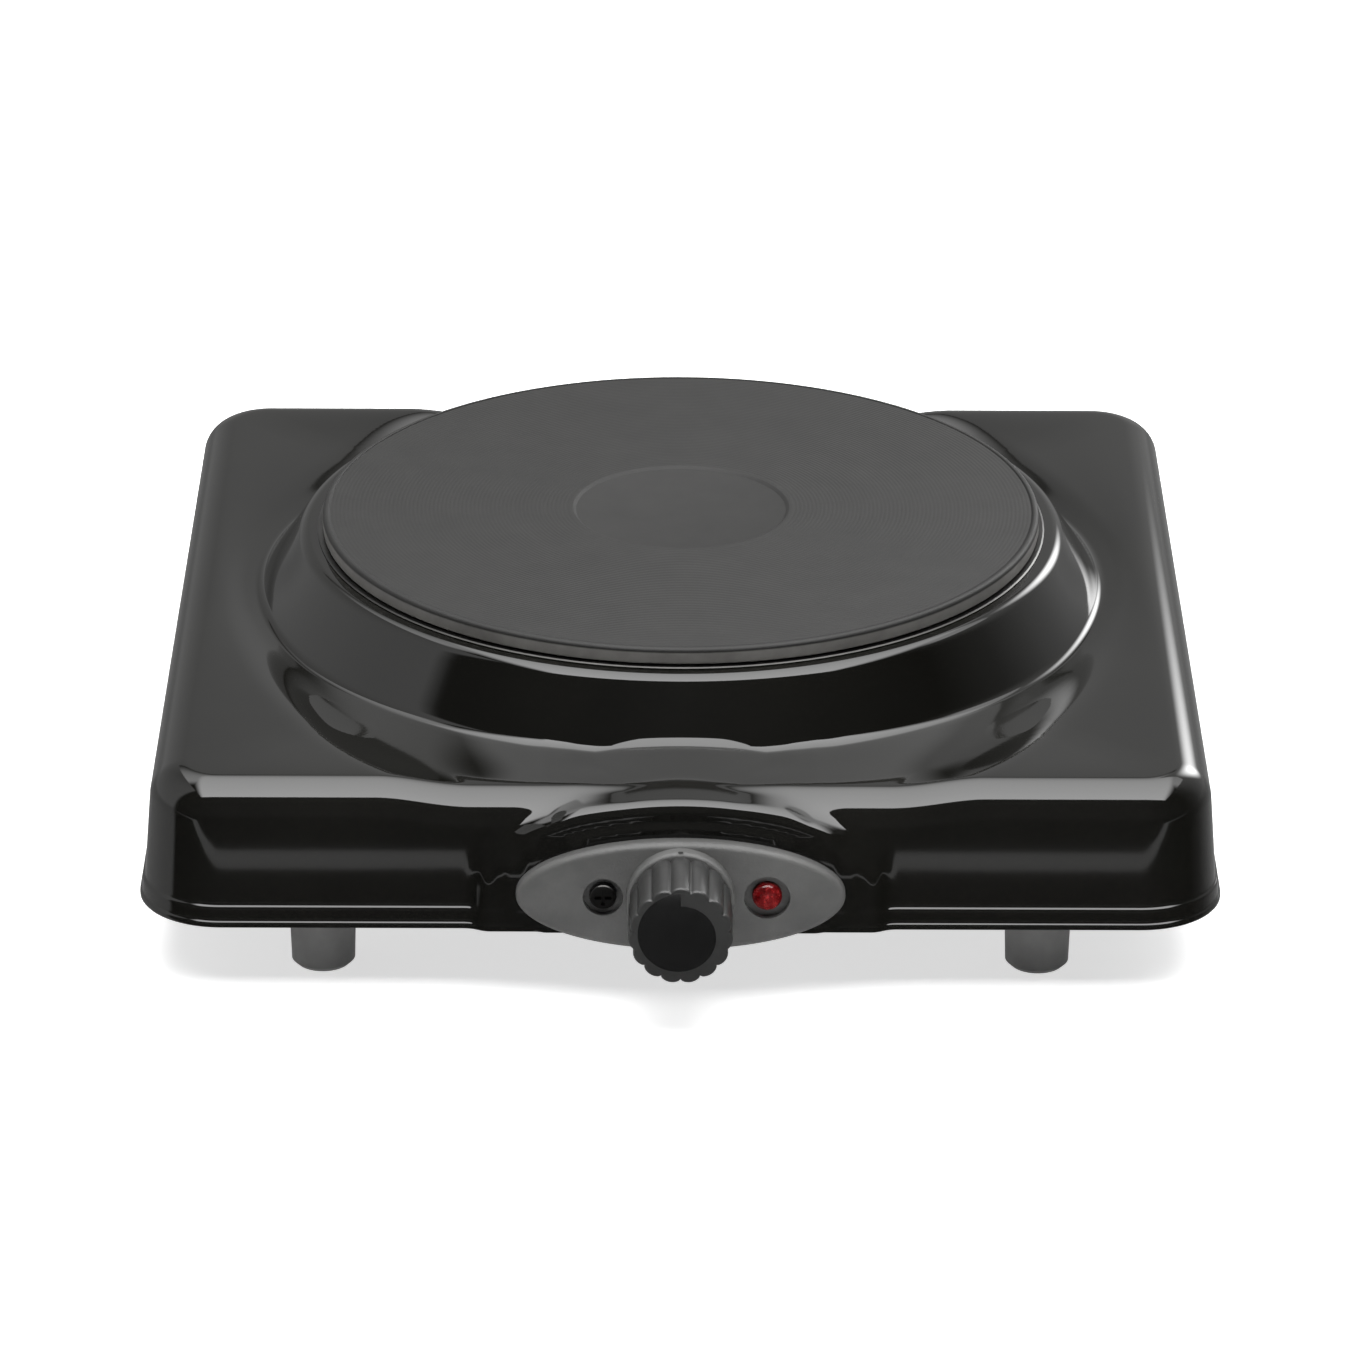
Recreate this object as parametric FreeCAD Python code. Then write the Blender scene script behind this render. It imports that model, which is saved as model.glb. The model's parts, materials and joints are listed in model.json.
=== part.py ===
"""Single electric hot plate: cast-iron plate in an enamelled steel housing, with a thermostat knob.

Millimetres, +Z up, front towards -Y, feet standing on Z = 0.  Everything is drawn about the plate's
own axis (X = Y = 0) and moved along Y at the end, so that the origin is under the middle of the object.
"""
import FreeCAD, Part
import math
import os

V = FreeCAD.Vector

# ---- plate and overall heights
PLATE_R = 92.5              # 185 mm standard plate
PLATE_TOP = 71.0            # height of the cooking surface above the table
RECESS_R = 28.0             # unheated centre
RECESS_DEPTH = 0.4
RIM_UNDER = 66.6            # underside of the plate's overhanging rim
SKIRT_R = 88.5
SKIRT_BOTTOM = 57.0
DISC_UNDER = 64.0           # roof of the coil channels
CHANNEL_R = [80.0, 67.5, 55.0, 42.5]
CHANNEL_PITCH = 12.5
CHANNEL_WALL = 2.5
COIL_R = 1.9
COIL_Z = 60.6
COIL_END_DEG = 14.0         # the coil stops this far to each side of the front

# ---- housing
SHEET = 1.0                 # steel and enamel together
BODY_HALF_W = 133.0
BODY_FRONT = -141.0
BODY_BACK = 123.0
BODY_BOTTOM = 17.5
BODY_CORNER_R = 21.0
DRAFT = math.tan(math.radians(4.5))
CORNER_TOP = 53.0
FLOOR_TOP = 50.2            # the shallow recess round the plate
TOP_EDGE_R = 8.5
RECESS_HALF_W = 118.0
RECESS_ARC_R = 185.0
RECESS_STEP = 10.0
COLLAR_TOP = 66.2
COLLAR_SLOPE = [(98.9, 64.4), (108.9, 49.2)]    # (radius, height) of two points on the cone
COLLAR_BROW_R = 3.6
COLLAR_FOOT_R = 3.4
COLLAR_BURIED_Z = 45.0      # the collar is drawn down to here, inside the body
OPENING_R = 90.5
OPENING_LIP_BOTTOM = 60.0
HUMP_FACE = -143.0          # flat pad that carries the bezel
HUMP_HALF_W = 49.0
HUMP_HALF_H = 23.0
HUMP_LENGTH = 42.0
HUMP_EDGE_R = 3.0
INLET_X = -45.0
INLET_Z = 34.0
INLET_PAD_R = 11.0
INLET_FACE = 122.6
INLET_HOLE_R = 6.4

# ---- control panel
KNOB_Z = 28.8
KNOB_R = 12.7
KNOB_BACK = -149.8
KNOB_FRONT = -168.0
FLUTES = 15
FLUTE_R = 1.5
HUB_R = 5.4
DIAL_R_START = 8.0          # glossy spiral inlay on the knob's face
DIAL_R_END = 11.4
DIAL_T = 0.6
SPINDLE_R = 3.0
BUSH_R = 4.95
BEZEL_HALF_W = 40.0
BEZEL_HALF_H = 14.5
BEZEL_FRONT = -146.2
BOSS_R = 13.2
BOSS_FRONT = -149.3
BEZEL_HOLE_R = 9.6
SCREW_X = -18.8
LAMP_X = 21.0
LENS_R = 3.65
TRIM_RECESS_R = 5.6
TRIM_RECESS_FLOOR = -144.4
PEG_X = 34.0
STOP_LUG_DEG = 33.0
STOP_GAP_DEG = 1.0
STOP_R = 8.6
BRACKET_BACK = HUMP_FACE + SHEET + 1.5
BRACKET_X = [-37.2, 33.0]
BRACKET_Z = [20.4, 36.2]

# ---- thermostat stack
STACK_X = [-37.0, -27.0]
STACK_Z = [22.8, 34.8]
STACK_SCREW_X = -32.0
BLADE_Z = [24.8, 32.8]
BLADE_END_X = 8.0
CONTACT_X = 5.0
BLADE_1 = [-131.0, -130.6]
SLEEVE_END = -54.0
BLADE_2 = [-127.0, -126.6]
BIMETAL = [-121.5, -120.7]
STACK_BACK = -118.2
TIP_BACK = -131.1
PLUNGER_R = 1.94

# ---- base, feet and clamp
BASE_Z = 18.5
BASE_T = 1.0
FOOT_X = 88.0
FOOT_Y = [-122.0, 99.0]
FOOT_R_TOP = 8.3
FOOT_R_BOTTOM = 7.8
FOOT_SCREW_R = 1.95
RIDGE_HALF_W = 74.0         # stiffening rib pressed into the base
RIDGE_Y = [-80.0, 46.0]
RIDGE_W = 2.0
RIDGE_H = 1.6
RIDGE_CORNER_R = 14.0
VENTS_PER_SIDE = 6
VENT_X = 45.0               # middle of each row of slots
VENT_FIRST_Y = -55.0
VENT_PITCH = 15.0
VENT_REACH = 14.0           # half length between the slot's end centres
VENT_R = 1.8
STUD_R = 4.0
STUD_BOTTOM = 34.0
STUD_TOP = 65.0
COVER_T = 0.8
BRIDGE_Z = [48.5, 51.0]
BRIDGE_HALF_W = 11.0
SHIELD_Z = 39.4
SHIELD_R = 89.0
M8_NUT_AF = 13.0
TERMINAL_DEG = -90.0 + COIL_END_DEG
TERMINAL_Z = [47.0, SKIRT_BOTTOM - COVER_T]
PIN_R = 1.5
PIN_BOTTOM = 43.0

# ---- mains terminals and wires
BLOCK_X = [-66.0, -36.0]
BLOCK_Y = [70.0, 88.0]
BLOCK_Z = [BASE_Z + BASE_T, 33.0]
POLE_X = [-61.0, -51.0, -41.0]
POLE_Z = 25.5
WIRE_R = 1.3
LEAD_R = 0.6
NEON_BACK = -134.5
RESISTOR_X = 26.0
RESISTOR_Z = 26.0
EARTH_X = -25.0
EARTH_Y = 60.0

PLATE_Y = -(KNOB_FRONT + INLET_FACE + 2.4) / 2      # centres the object on Y = 0


# ---------------------------------------------------------------- helpers
def box(x0, x1, y0, y1, z0, z1):
    return Part.makeBox(x1 - x0, y1 - y0, z1 - z0, V(x0, y0, z0))


def rod_z(radius, x, y, z0, z1):
    return Part.makeCylinder(radius, z1 - z0, V(x, y, z0), V(0, 0, 1))


def rod_y(radius, x, z, y0, y1):
    return Part.makeCylinder(radius, y1 - y0, V(x, y0, z), V(0, 1, 0))


def ring_z(inner, outer, x, y, z0, z1):
    return rod_z(outer, x, y, z0, z1).cut(rod_z(inner, x, y, z0 - 1, z1 + 1))


def ring_y(inner, outer, x, z, y0, y1):
    return rod_y(outer, x, z, y0, y1).cut(rod_y(inner, x, z, y0 - 1, y1 + 1))


def hexagon(across_flats, centre, axis, length):
    """A hexagonal bar that starts at centre and runs along axis (Z or Y)."""
    corner = across_flats / 2 / math.cos(math.pi / 6)
    points = []
    for k in range(7):
        a = math.pi / 3 * k
        across = corner * math.cos(a)
        along = corner * math.sin(a)
        points.append(V(across, along, 0) if axis.z else V(across, 0, along))
    face = Part.Face(Part.makePolygon([centre + p for p in points]))
    return face.extrude(axis * length)


def turn(profile, origin=V(0, 0, 0), axis=V(0, 0, 1)):
    """Revolve a closed (radius, height) outline; the axis is Z or Y."""
    if axis.z:
        points = [origin + V(r, 0, h) for r, h in profile]
    else:
        points = [origin + V(r, h, 0) for r, h in profile]
    face = Part.Face(Part.makePolygon(points + [points[0]]))
    return face.revolve(origin, axis, 360)


def fuse(shapes):
    whole = shapes[0]
    for shape in shapes[1:]:
        whole = whole.fuse(shape)
    return whole


def group(shapes):
    return Part.makeCompound(shapes)


def on_ray(radius, degrees):
    a = math.radians(degrees)
    return V(radius * math.cos(a), radius * math.sin(a), 0)


def tube(points, radius):
    """Wire of straight runs joined by tangent arcs, swept with a round section."""
    points = [V(*p) for p in points]
    edges = []
    start = points[0]
    for i in range(1, len(points) - 1):
        before = points[i] - points[i - 1]
        after = points[i + 1] - points[i]
        half_turn = before.getAngle(after) / 2
        cut = 0.45 * min(before.Length, after.Length)
        arc_in = points[i] - V(before).normalize() * cut
        arc_out = points[i] + V(after).normalize() * cut
        bisector = (V(after).normalize() - V(before).normalize()).normalize()
        arc_radius = cut / math.tan(half_turn)
        middle = points[i] + bisector * (arc_radius / math.cos(half_turn) - arc_radius)
        edges.append(Part.LineSegment(start, arc_in).toShape())
        edges.append(Part.Arc(arc_in, middle, arc_out).toShape())
        start = arc_out
    edges.append(Part.LineSegment(start, points[-1]).toShape())
    section = Part.Wire(Part.Circle(points[0], points[1] - points[0], radius).toShape())
    return Part.Wire(edges).makePipeShell([section], True, False)


def cross_recess_pan_head(radius, height, x, z, y_seat):
    """Pan head whose flat side is at y_seat and whose crown points to -Y, with a cross recess."""
    head = rod_y(radius, x, z, y_seat - height, y_seat)
    crown = [e for e in head.Edges if abs(e.CenterOfMass.y - (y_seat - height)) < 0.01]
    head = head.makeFillet(height * 0.45, crown)
    slot = radius * 0.62
    arm = radius * 0.13
    cross = box(x - slot, x + slot, y_seat - height - 1, y_seat - height * 0.45, z - arm, z + arm)
    cross = cross.fuse(box(x - arm, x + arm, y_seat - height - 1, y_seat - height * 0.45, z - slot, z + slot))
    return head.cut(cross)


# ---------------------------------------------------------------- housing
def rounded_rectangle(half_w, y0, y1, r, z):
    """Closed wire, symmetric about X = 0, whose corners have radius r."""
    d = r * (1 - math.sqrt(0.5))
    x = half_w
    edges = []
    for start, middle, end, beyond in [
            ((x, y1 - r), (x - d, y1 - d), (x - r, y1), (-x + r, y1)),
            ((-x + r, y1), (-x + d, y1 - d), (-x, y1 - r), (-x, y0 + r)),
            ((-x, y0 + r), (-x + d, y0 + d), (-x + r, y0), (x - r, y0)),
            ((x - r, y0), (x - d, y0 + d), (x, y0 + r), (x, y1 - r))]:
        edges.append(Part.Arc(V(*start, z), V(*middle, z), V(*end, z)).toShape())
        edges.append(Part.LineSegment(V(*end, z), V(*beyond, z)).toShape())
    return Part.Wire(edges)


def outline(z, inset):
    """Rounded rectangle of the drafted walls at height z, moved inwards by inset."""
    move = inset + (z - BODY_BOTTOM) * DRAFT
    return rounded_rectangle(BODY_HALF_W - move, BODY_FRONT + move, BODY_BACK - move, BODY_CORNER_R - move, z)


def drafted_block(top, inset, bottom):
    block = Part.makeLoft([outline(bottom, inset), outline(top, inset)], True, True)
    rim = [e for e in block.Edges if abs(e.BoundBox.ZMin - top) < 0.01]
    return block.makeFillet(TOP_EDGE_R - inset, rim)


def lens(radius, z):
    """Plan outline of the shallow recess: two large arcs that face each other."""
    centre = RECESS_ARC_R - RECESS_HALF_W
    reach = 150.0
    mid_y = (BODY_FRONT + BODY_BACK) / 2
    end_x = math.sqrt(radius ** 2 - reach ** 2) - centre
    mid_x = radius - centre
    corners = [V(end_x, mid_y - reach, z), V(end_x, mid_y + reach, z)]
    mirror = [V(-p.x, p.y, p.z) for p in corners]
    return Part.Wire([
        Part.Arc(corners[0], V(mid_x, mid_y, z), corners[1]).toShape(),
        Part.LineSegment(corners[1], mirror[1]).toShape(),
        Part.Arc(mirror[1], V(-mid_x, mid_y, z), mirror[0]).toShape(),
        Part.LineSegment(mirror[0], corners[0]).toShape()])


def recess_tool(inset):
    floor = FLOOR_TOP - inset
    top = CORNER_TOP - inset
    ramp = Part.makeLoft([lens(RECESS_ARC_R - RECESS_STEP, floor), lens(RECESS_ARC_R, top)], True, True)
    above = Part.Face(lens(RECESS_ARC_R, top)).extrude(V(0, 0, 10))
    return ramp.fuse(above)


def collar(inset):
    """Raised ring that the plate sits in: flat top, rounded brow, steep slope and hollow foot."""
    (r_high, z_high), (r_low, z_low) = COLLAR_SLOPE
    fall = math.atan2(z_high - z_low, r_low - r_high)
    sunk = 0.03             # the hollow foot runs just under the floor
    foot_z = FLOOR_TOP - sunk
    brow_centre = r_high - (COLLAR_TOP - z_high) / math.tan(fall) - COLLAR_BROW_R * math.tan(fall / 2)
    foot_centre = r_high + (z_high - foot_z) / math.tan(fall) + COLLAR_FOOT_R * math.tan(fall / 2)

    def brow(angle):
        reach = COLLAR_BROW_R - inset
        return V(brow_centre + reach * math.sin(angle), 0, COLLAR_TOP - COLLAR_BROW_R + reach * math.cos(angle))

    def foot_hollow(angle):
        reach = COLLAR_FOOT_R + inset
        return V(foot_centre - reach * math.sin(angle), 0, foot_z + COLLAR_FOOT_R - reach * math.cos(angle))

    centre_top = V(0, 0, COLLAR_TOP - inset)
    buried = V(foot_centre, 0, COLLAR_BURIED_Z)
    axis_foot = V(0, 0, COLLAR_BURIED_Z)
    wire = Part.Wire([
        Part.LineSegment(centre_top, brow(0)).toShape(),
        Part.Arc(brow(0), brow(fall / 2), brow(fall)).toShape(),
        Part.LineSegment(brow(fall), foot_hollow(fall)).toShape(),
        Part.Arc(foot_hollow(fall), foot_hollow(fall / 2), foot_hollow(0)).toShape(),
        Part.LineSegment(foot_hollow(0), buried).toShape(),
        Part.LineSegment(buried, axis_foot).toShape(),
        Part.LineSegment(axis_foot, centre_top).toShape()])
    return Part.Face(wire).revolve(V(0, 0, 0), V(0, 0, 1), 360)


def hump(inset, bottom):
    """Half barrel over the controls, with a flat front pad for the bezel."""
    face = HUMP_FACE + inset
    half_w = HUMP_HALF_W - inset
    half_h = HUMP_HALF_H - inset
    ellipse = Part.Ellipse(V(half_w, face, KNOB_Z), V(0, face, KNOB_Z + half_h), V(0, face, KNOB_Z))
    upper = Part.ArcOfEllipse(ellipse, 0, math.pi).toShape()
    left = V(-half_w, face, KNOB_Z)
    right = V(half_w, face, KNOB_Z)
    wire = Part.Wire([
        upper,
        Part.LineSegment(left, V(-half_w, face, bottom)).toShape(),
        Part.LineSegment(V(-half_w, face, bottom), V(half_w, face, bottom)).toShape(),
        Part.LineSegment(V(half_w, face, bottom), right).toShape()])
    barrel = Part.Face(wire).extrude(V(0, HUMP_LENGTH - inset, 0))
    rim = [e for e in barrel.Edges if abs(e.BoundBox.YMax - face) < 0.01 and e.BoundBox.ZMax > KNOB_Z + 1]
    return barrel.makeFillet(HUMP_EDGE_R - inset, rim)


def housing_block(inset):
    bottom = BODY_BOTTOM - (5 if inset else 0)
    raised = drafted_block(CORNER_TOP - inset, inset, bottom).cut(recess_tool(inset))
    block = drafted_block(FLOOR_TOP - inset, inset, bottom).fuse(raised)
    block = block.fuse(collar(inset))
    block = block.fuse(hump(inset, bottom))
    pad = rod_y(INLET_PAD_R - inset, INLET_X, INLET_Z, 100, INLET_FACE - inset)
    return block.fuse(pad).removeSplitter()


def housing():
    shell = housing_block(0).cut(housing_block(SHEET))
    shell = shell.cut(rod_z(OPENING_R, 0, 0, 40, 80))
    shell = shell.fuse(ring_z(OPENING_R, OPENING_R + SHEET, 0, 0, OPENING_LIP_BOTTOM, COLLAR_TOP - 0.5))
    front = HUMP_FACE - 1
    back = HUMP_FACE + SHEET + 1
    shell = shell.cut(rod_y(BUSH_R + 0.1, 0, KNOB_Z, front, back))
    shell = shell.cut(rod_y(2.0, SCREW_X, KNOB_Z, front, back))
    shell = shell.cut(rod_y(LENS_R + 0.1, LAMP_X, KNOB_Z, front, back))
    for side in (-1, 1):
        shell = shell.cut(rod_y(1.5, side * PEG_X, KNOB_Z, front, back))
    shell = shell.cut(rod_y(INLET_HOLE_R, INLET_X, INLET_Z, INLET_FACE - 5, INLET_FACE + 1))
    return shell.removeSplitter()


# ---------------------------------------------------------------- base and feet
def foot_places():
    return [(side * FOOT_X, y) for y in FOOT_Y for side in (-1, 1)]


def base_cover():
    """Flat sheet with a stiffening upturn, vent slots and the fixing holes."""
    z0 = BASE_Z
    z1 = BASE_Z + BASE_T
    sheet = Part.Face(outline(BODY_BOTTOM, SHEET + 0.7)).extrude(V(0, 0, BASE_T))
    sheet.translate(V(0, 0, z0 - BODY_BOTTOM))
    tab_x = HUMP_HALF_W - SHEET - HUMP_EDGE_R
    sheet = sheet.fuse(box(-tab_x, tab_x, HUMP_FACE + SHEET + 0.5, BODY_FRONT + 6, z0, z1))
    y0, y1 = RIDGE_Y
    outer = Part.Face(rounded_rectangle(RIDGE_HALF_W, y0, y1, RIDGE_CORNER_R, z1))
    inner = Part.Face(rounded_rectangle(RIDGE_HALF_W - RIDGE_W, y0 + RIDGE_W, y1 - RIDGE_W,
                                        RIDGE_CORNER_R - RIDGE_W, z1))
    ridge = outer.cut(inner).extrude(V(0, 0, RIDGE_H))
    sheet = sheet.fuse(ridge)
    for side in (-1, 1):
        for k in range(VENTS_PER_SIDE):
            x = side * VENT_X
            y = VENT_FIRST_Y + VENT_PITCH * k
            slot = box(x - VENT_REACH, x + VENT_REACH, y - VENT_R, y + VENT_R, z0 - 1, z1 + 1)
            for end in (-VENT_REACH, VENT_REACH):
                slot = slot.fuse(rod_z(VENT_R, x + end, y, z0 - 1, z1 + 1))
            sheet = sheet.cut(slot)
    for x, y in foot_places():
        sheet = sheet.cut(rod_z(FOOT_SCREW_R + 0.1, x, y, z0 - 1, z1 + 1))
    sheet = sheet.cut(rod_z(2.0, EARTH_X, EARTH_Y, z0 - 1, z1 + 1))
    return sheet.removeSplitter()


def foot(x, y):
    """Moulded foot: slightly tapered, rounded at the floor, with a deep screw pocket."""
    profile = [(2.2, 9.0), (2.2, BASE_Z), (FOOT_R_TOP, BASE_Z), (FOOT_R_BOTTOM, 1.2),
               (FOOT_R_BOTTOM - 1.2, 0.0), (4.6, 0.0), (4.6, 9.0)]
    return turn(profile, V(x, y, 0))


def foot_screw(x, y):
    head = rod_z(3.9, x, y, 6.4, 9.0)
    head = head.cut(box(x - 2.4, x + 2.4, y - 0.5, y + 0.5, 6, 7.8))
    head = head.cut(box(x - 0.5, x + 0.5, y - 2.4, y + 2.4, 6, 7.8))
    return head.fuse(rod_z(FOOT_SCREW_R, x, y, 9.0, 26.0))


def foot_bracket(x, y):
    """Sheet angle welded to the front or back wall, with a weld nut over the foot."""
    z0 = BASE_Z + BASE_T
    out = -1 if y < 0 else 1
    wall = (BODY_FRONT if out < 0 else BODY_BACK) - out * (SHEET + 2.1)
    span = sorted([y - out * 9, wall])
    plate = box(x - 10, x + 10, span[0], span[1], z0, z0 + 1.2)
    upright = sorted([wall, wall - out * 1.2])
    plate = plate.fuse(box(x - 10, x + 10, upright[0], upright[1], z0, z0 + 12))
    plate = plate.fuse(hexagon(7.0, V(x, y, z0 + 1.2), V(0, 0, 1), 3.0))
    return plate.cut(rod_z(FOOT_SCREW_R + 0.02, x, y, z0 - 1, z0 + 6))


# ---------------------------------------------------------------- hot plate
def coil_path():
    """Flat path that runs round each channel in turn and doubles back beside the terminals."""
    first = -90 + COIL_END_DEG
    last = 270 - COIL_END_DEG
    middle = (first + last) / 2
    edges = []
    start, end = first, last
    for k, radius in enumerate(CHANNEL_R):
        a = on_ray(radius, start) + V(0, 0, COIL_Z)
        b = on_ray(radius, middle) + V(0, 0, COIL_Z)
        c = on_ray(radius, end) + V(0, 0, COIL_Z)
        edges.append(Part.Arc(a, b, c).toShape())
        if k + 1 < len(CHANNEL_R):
            half = CHANNEL_PITCH / 2
            beyond = on_ray(half, end + (90 if end > start else -90))
            turn_mid = on_ray(radius - half, end) + beyond + V(0, 0, COIL_Z)
            turn_end = on_ray(radius - CHANNEL_PITCH, end) + V(0, 0, COIL_Z)
            edges.append(Part.Arc(c, turn_mid, turn_end).toShape())
        start, end = end, start
    return Part.Wire(edges)


def heating_coil():
    path = coil_path()
    start = on_ray(CHANNEL_R[0], -90 + COIL_END_DEG) + V(0, 0, COIL_Z)
    direction = on_ray(1, COIL_END_DEG)
    section = Part.Wire(Part.Circle(start, direction, COIL_R).toShape())
    return path.makePipeShell([section], True, False)


def terminal_gap():
    """Clear stretch of the channels at the front, where the coil doubles back."""
    return box(-27, 27, -86, -34, SKIRT_BOTTOM - 1, DISC_UNDER)


def channel_walls():
    walls = []
    for radius in CHANNEL_R:
        inner = radius - CHANNEL_PITCH / 2
        wall = ring_z(inner - CHANNEL_WALL / 2, inner + CHANNEL_WALL / 2, 0, 0, SKIRT_BOTTOM + 1, DISC_UNDER + 1)
        walls.append(wall.cut(terminal_gap()))
    return walls


def hot_plate():
    top = PLATE_TOP
    profile = [(0, SKIRT_BOTTOM), (12, SKIRT_BOTTOM), (15, DISC_UNDER), (SKIRT_R - 2.3, DISC_UNDER),
               (SKIRT_R - 2.0, SKIRT_BOTTOM), (SKIRT_R, SKIRT_BOTTOM), (SKIRT_R, RIM_UNDER),
               (PLATE_R - 0.7, RIM_UNDER), (PLATE_R, RIM_UNDER + 0.7), (PLATE_R, top - 1.0),
               (PLATE_R - 0.3, top - 0.3), (PLATE_R - 1.0, top), (RECESS_R, top),
               (RECESS_R - 0.5, top - RECESS_DEPTH), (0, top - RECESS_DEPTH)]
    plate = fuse([turn(profile)] + channel_walls())
    return plate.cut(rod_z(STUD_R, 0, 0, SKIRT_BOTTOM - 1, STUD_TOP)).removeSplitter()


def insulation_fill():
    """Packed powder that holds the coil in its channels."""
    inner = CHANNEL_R[-1] - CHANNEL_PITCH / 2
    fill = ring_z(inner + 1.5, SKIRT_R - 2.6, 0, 0, SKIRT_BOTTOM + 0.3, DISC_UNDER - 0.02)
    for radius in CHANNEL_R[:-1]:
        wall_r = radius - CHANNEL_PITCH / 2
        wall = ring_z(wall_r - CHANNEL_WALL / 2, wall_r + CHANNEL_WALL / 2, 0, 0, SKIRT_BOTTOM, DISC_UNDER + 1)
        fill = fill.cut(wall.cut(terminal_gap()))
    fill = fill.cut(heating_coil())
    for spot in pin_places():
        fill = fill.cut(rod_z(PIN_R, spot.x, spot.y, SKIRT_BOTTOM - 1, COIL_Z))
    return fill


def pin_places():
    return [on_ray(CHANNEL_R[0], TERMINAL_DEG), on_ray(CHANNEL_R[-1], TERMINAL_DEG)]


def terminal_pins():
    pins = []
    for spot in pin_places():
        pin = rod_z(PIN_R, spot.x, spot.y, PIN_BOTTOM, COIL_Z)
        pins.append(pin.cut(heating_coil()))
    return group([max(p.Solids, key=lambda s: s.Volume) for p in pins])


def plate_underside_cover():
    z1 = SKIRT_BOTTOM
    cover = rod_z(SKIRT_R, 0, 0, z1 - COVER_T, z1)
    cover = cover.cut(rod_z(STUD_R + 0.3, 0, 0, z1 - 2, z1 + 1))
    for spot in pin_places():
        cover = cover.cut(rod_z(PIN_R + 1.0, spot.x, spot.y, z1 - 2, z1 + 1))
    return cover


def along_terminals(length, width, z0, z1):
    """Block centred between the two pins and lined up with them."""
    centre = on_ray((CHANNEL_R[0] + CHANNEL_R[-1]) / 2, TERMINAL_DEG)
    block = box(-length / 2, length / 2, -width / 2, width / 2, z0, z1)
    block.rotate(V(0, 0, 0), V(0, 0, 1), TERMINAL_DEG)
    block.translate(centre)
    return block


def plate_terminal_block():
    block = along_terminals(49, 13, TERMINAL_Z[0], TERMINAL_Z[1])
    uprights = [e for e in block.Edges if e.BoundBox.ZLength > 5]
    block = block.makeFillet(3, uprights)
    for spot in pin_places():
        block = block.cut(rod_z(PIN_R, spot.x, spot.y, TERMINAL_Z[0] - 1, TERMINAL_Z[1] + 1))
    return block


def m8_nut(z0, z1):
    return hexagon(M8_NUT_AF, V(0, 0, z0), V(0, 0, 1), z1 - z0).cut(rod_z(STUD_R, 0, 0, z0 - 1, z1 + 1))


def spill_ring():
    """Thin steel ring between the plate's rim and the collar; its sleeve centres the plate."""
    top = RIM_UNDER
    profile = [(SKIRT_R + 0.5, 60.5), (SKIRT_R + 1.0, 60.5), (SKIRT_R + 1.0, COLLAR_TOP),
               (93.4, COLLAR_TOP), (93.9, COLLAR_TOP + 0.2), (93.5, top), (SKIRT_R + 0.5, top)]
    return turn(profile)


def clamp_bridge():
    """Strap under the plate whose turned-up ends pull the rim of the housing against the plate."""
    z0, z1 = BRIDGE_Z
    leg_in = OPENING_R - 1.0
    leg_out = OPENING_R + 1.4
    strap = box(-leg_out, leg_out, -BRIDGE_HALF_W, BRIDGE_HALF_W, z0, z1)
    for side in (-1, 1):
        span = sorted([side * leg_in, side * leg_out])
        strap = strap.fuse(box(span[0], span[1], -BRIDGE_HALF_W, BRIDGE_HALF_W, z0, OPENING_LIP_BOTTOM))
    strap = strap.common(rod_z(leg_out, 0, 0, z0, OPENING_LIP_BOTTOM))
    strap = strap.cut(ring_z(1, leg_in, 0, 0, z1, OPENING_LIP_BOTTOM + 1))
    return strap.cut(rod_z(STUD_R + 0.5, 0, 0, z0 - 1, z1 + 20)).removeSplitter()


def heat_shield():
    """Bright pan under the plate that keeps its heat off the base and the wires."""
    z0 = SHIELD_Z
    pan = turn([(0, z0), (SHIELD_R, z0), (SHIELD_R, z0 + 6), (SHIELD_R - 0.6, z0 + 6),
                (SHIELD_R - 0.6, z0 + 0.6), (0, z0 + 0.6)])
    pan = pan.cut(rod_z(STUD_R + 0.3, 0, 0, z0 - 1, z0 + 2))
    return pan.cut(along_terminals(50, 14, z0 - 1, z0 + 3))


# ---------------------------------------------------------------- bezel, knob and lamp
def oval(half_w, half_h, y0, y1):
    centre = V(0, y0, KNOB_Z)
    curve = Part.Ellipse(centre + V(half_w, 0, 0), centre + V(0, 0, half_h), centre)
    return Part.Face(Part.Wire(curve.toShape())).extrude(V(0, y1 - y0, 0))


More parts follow.
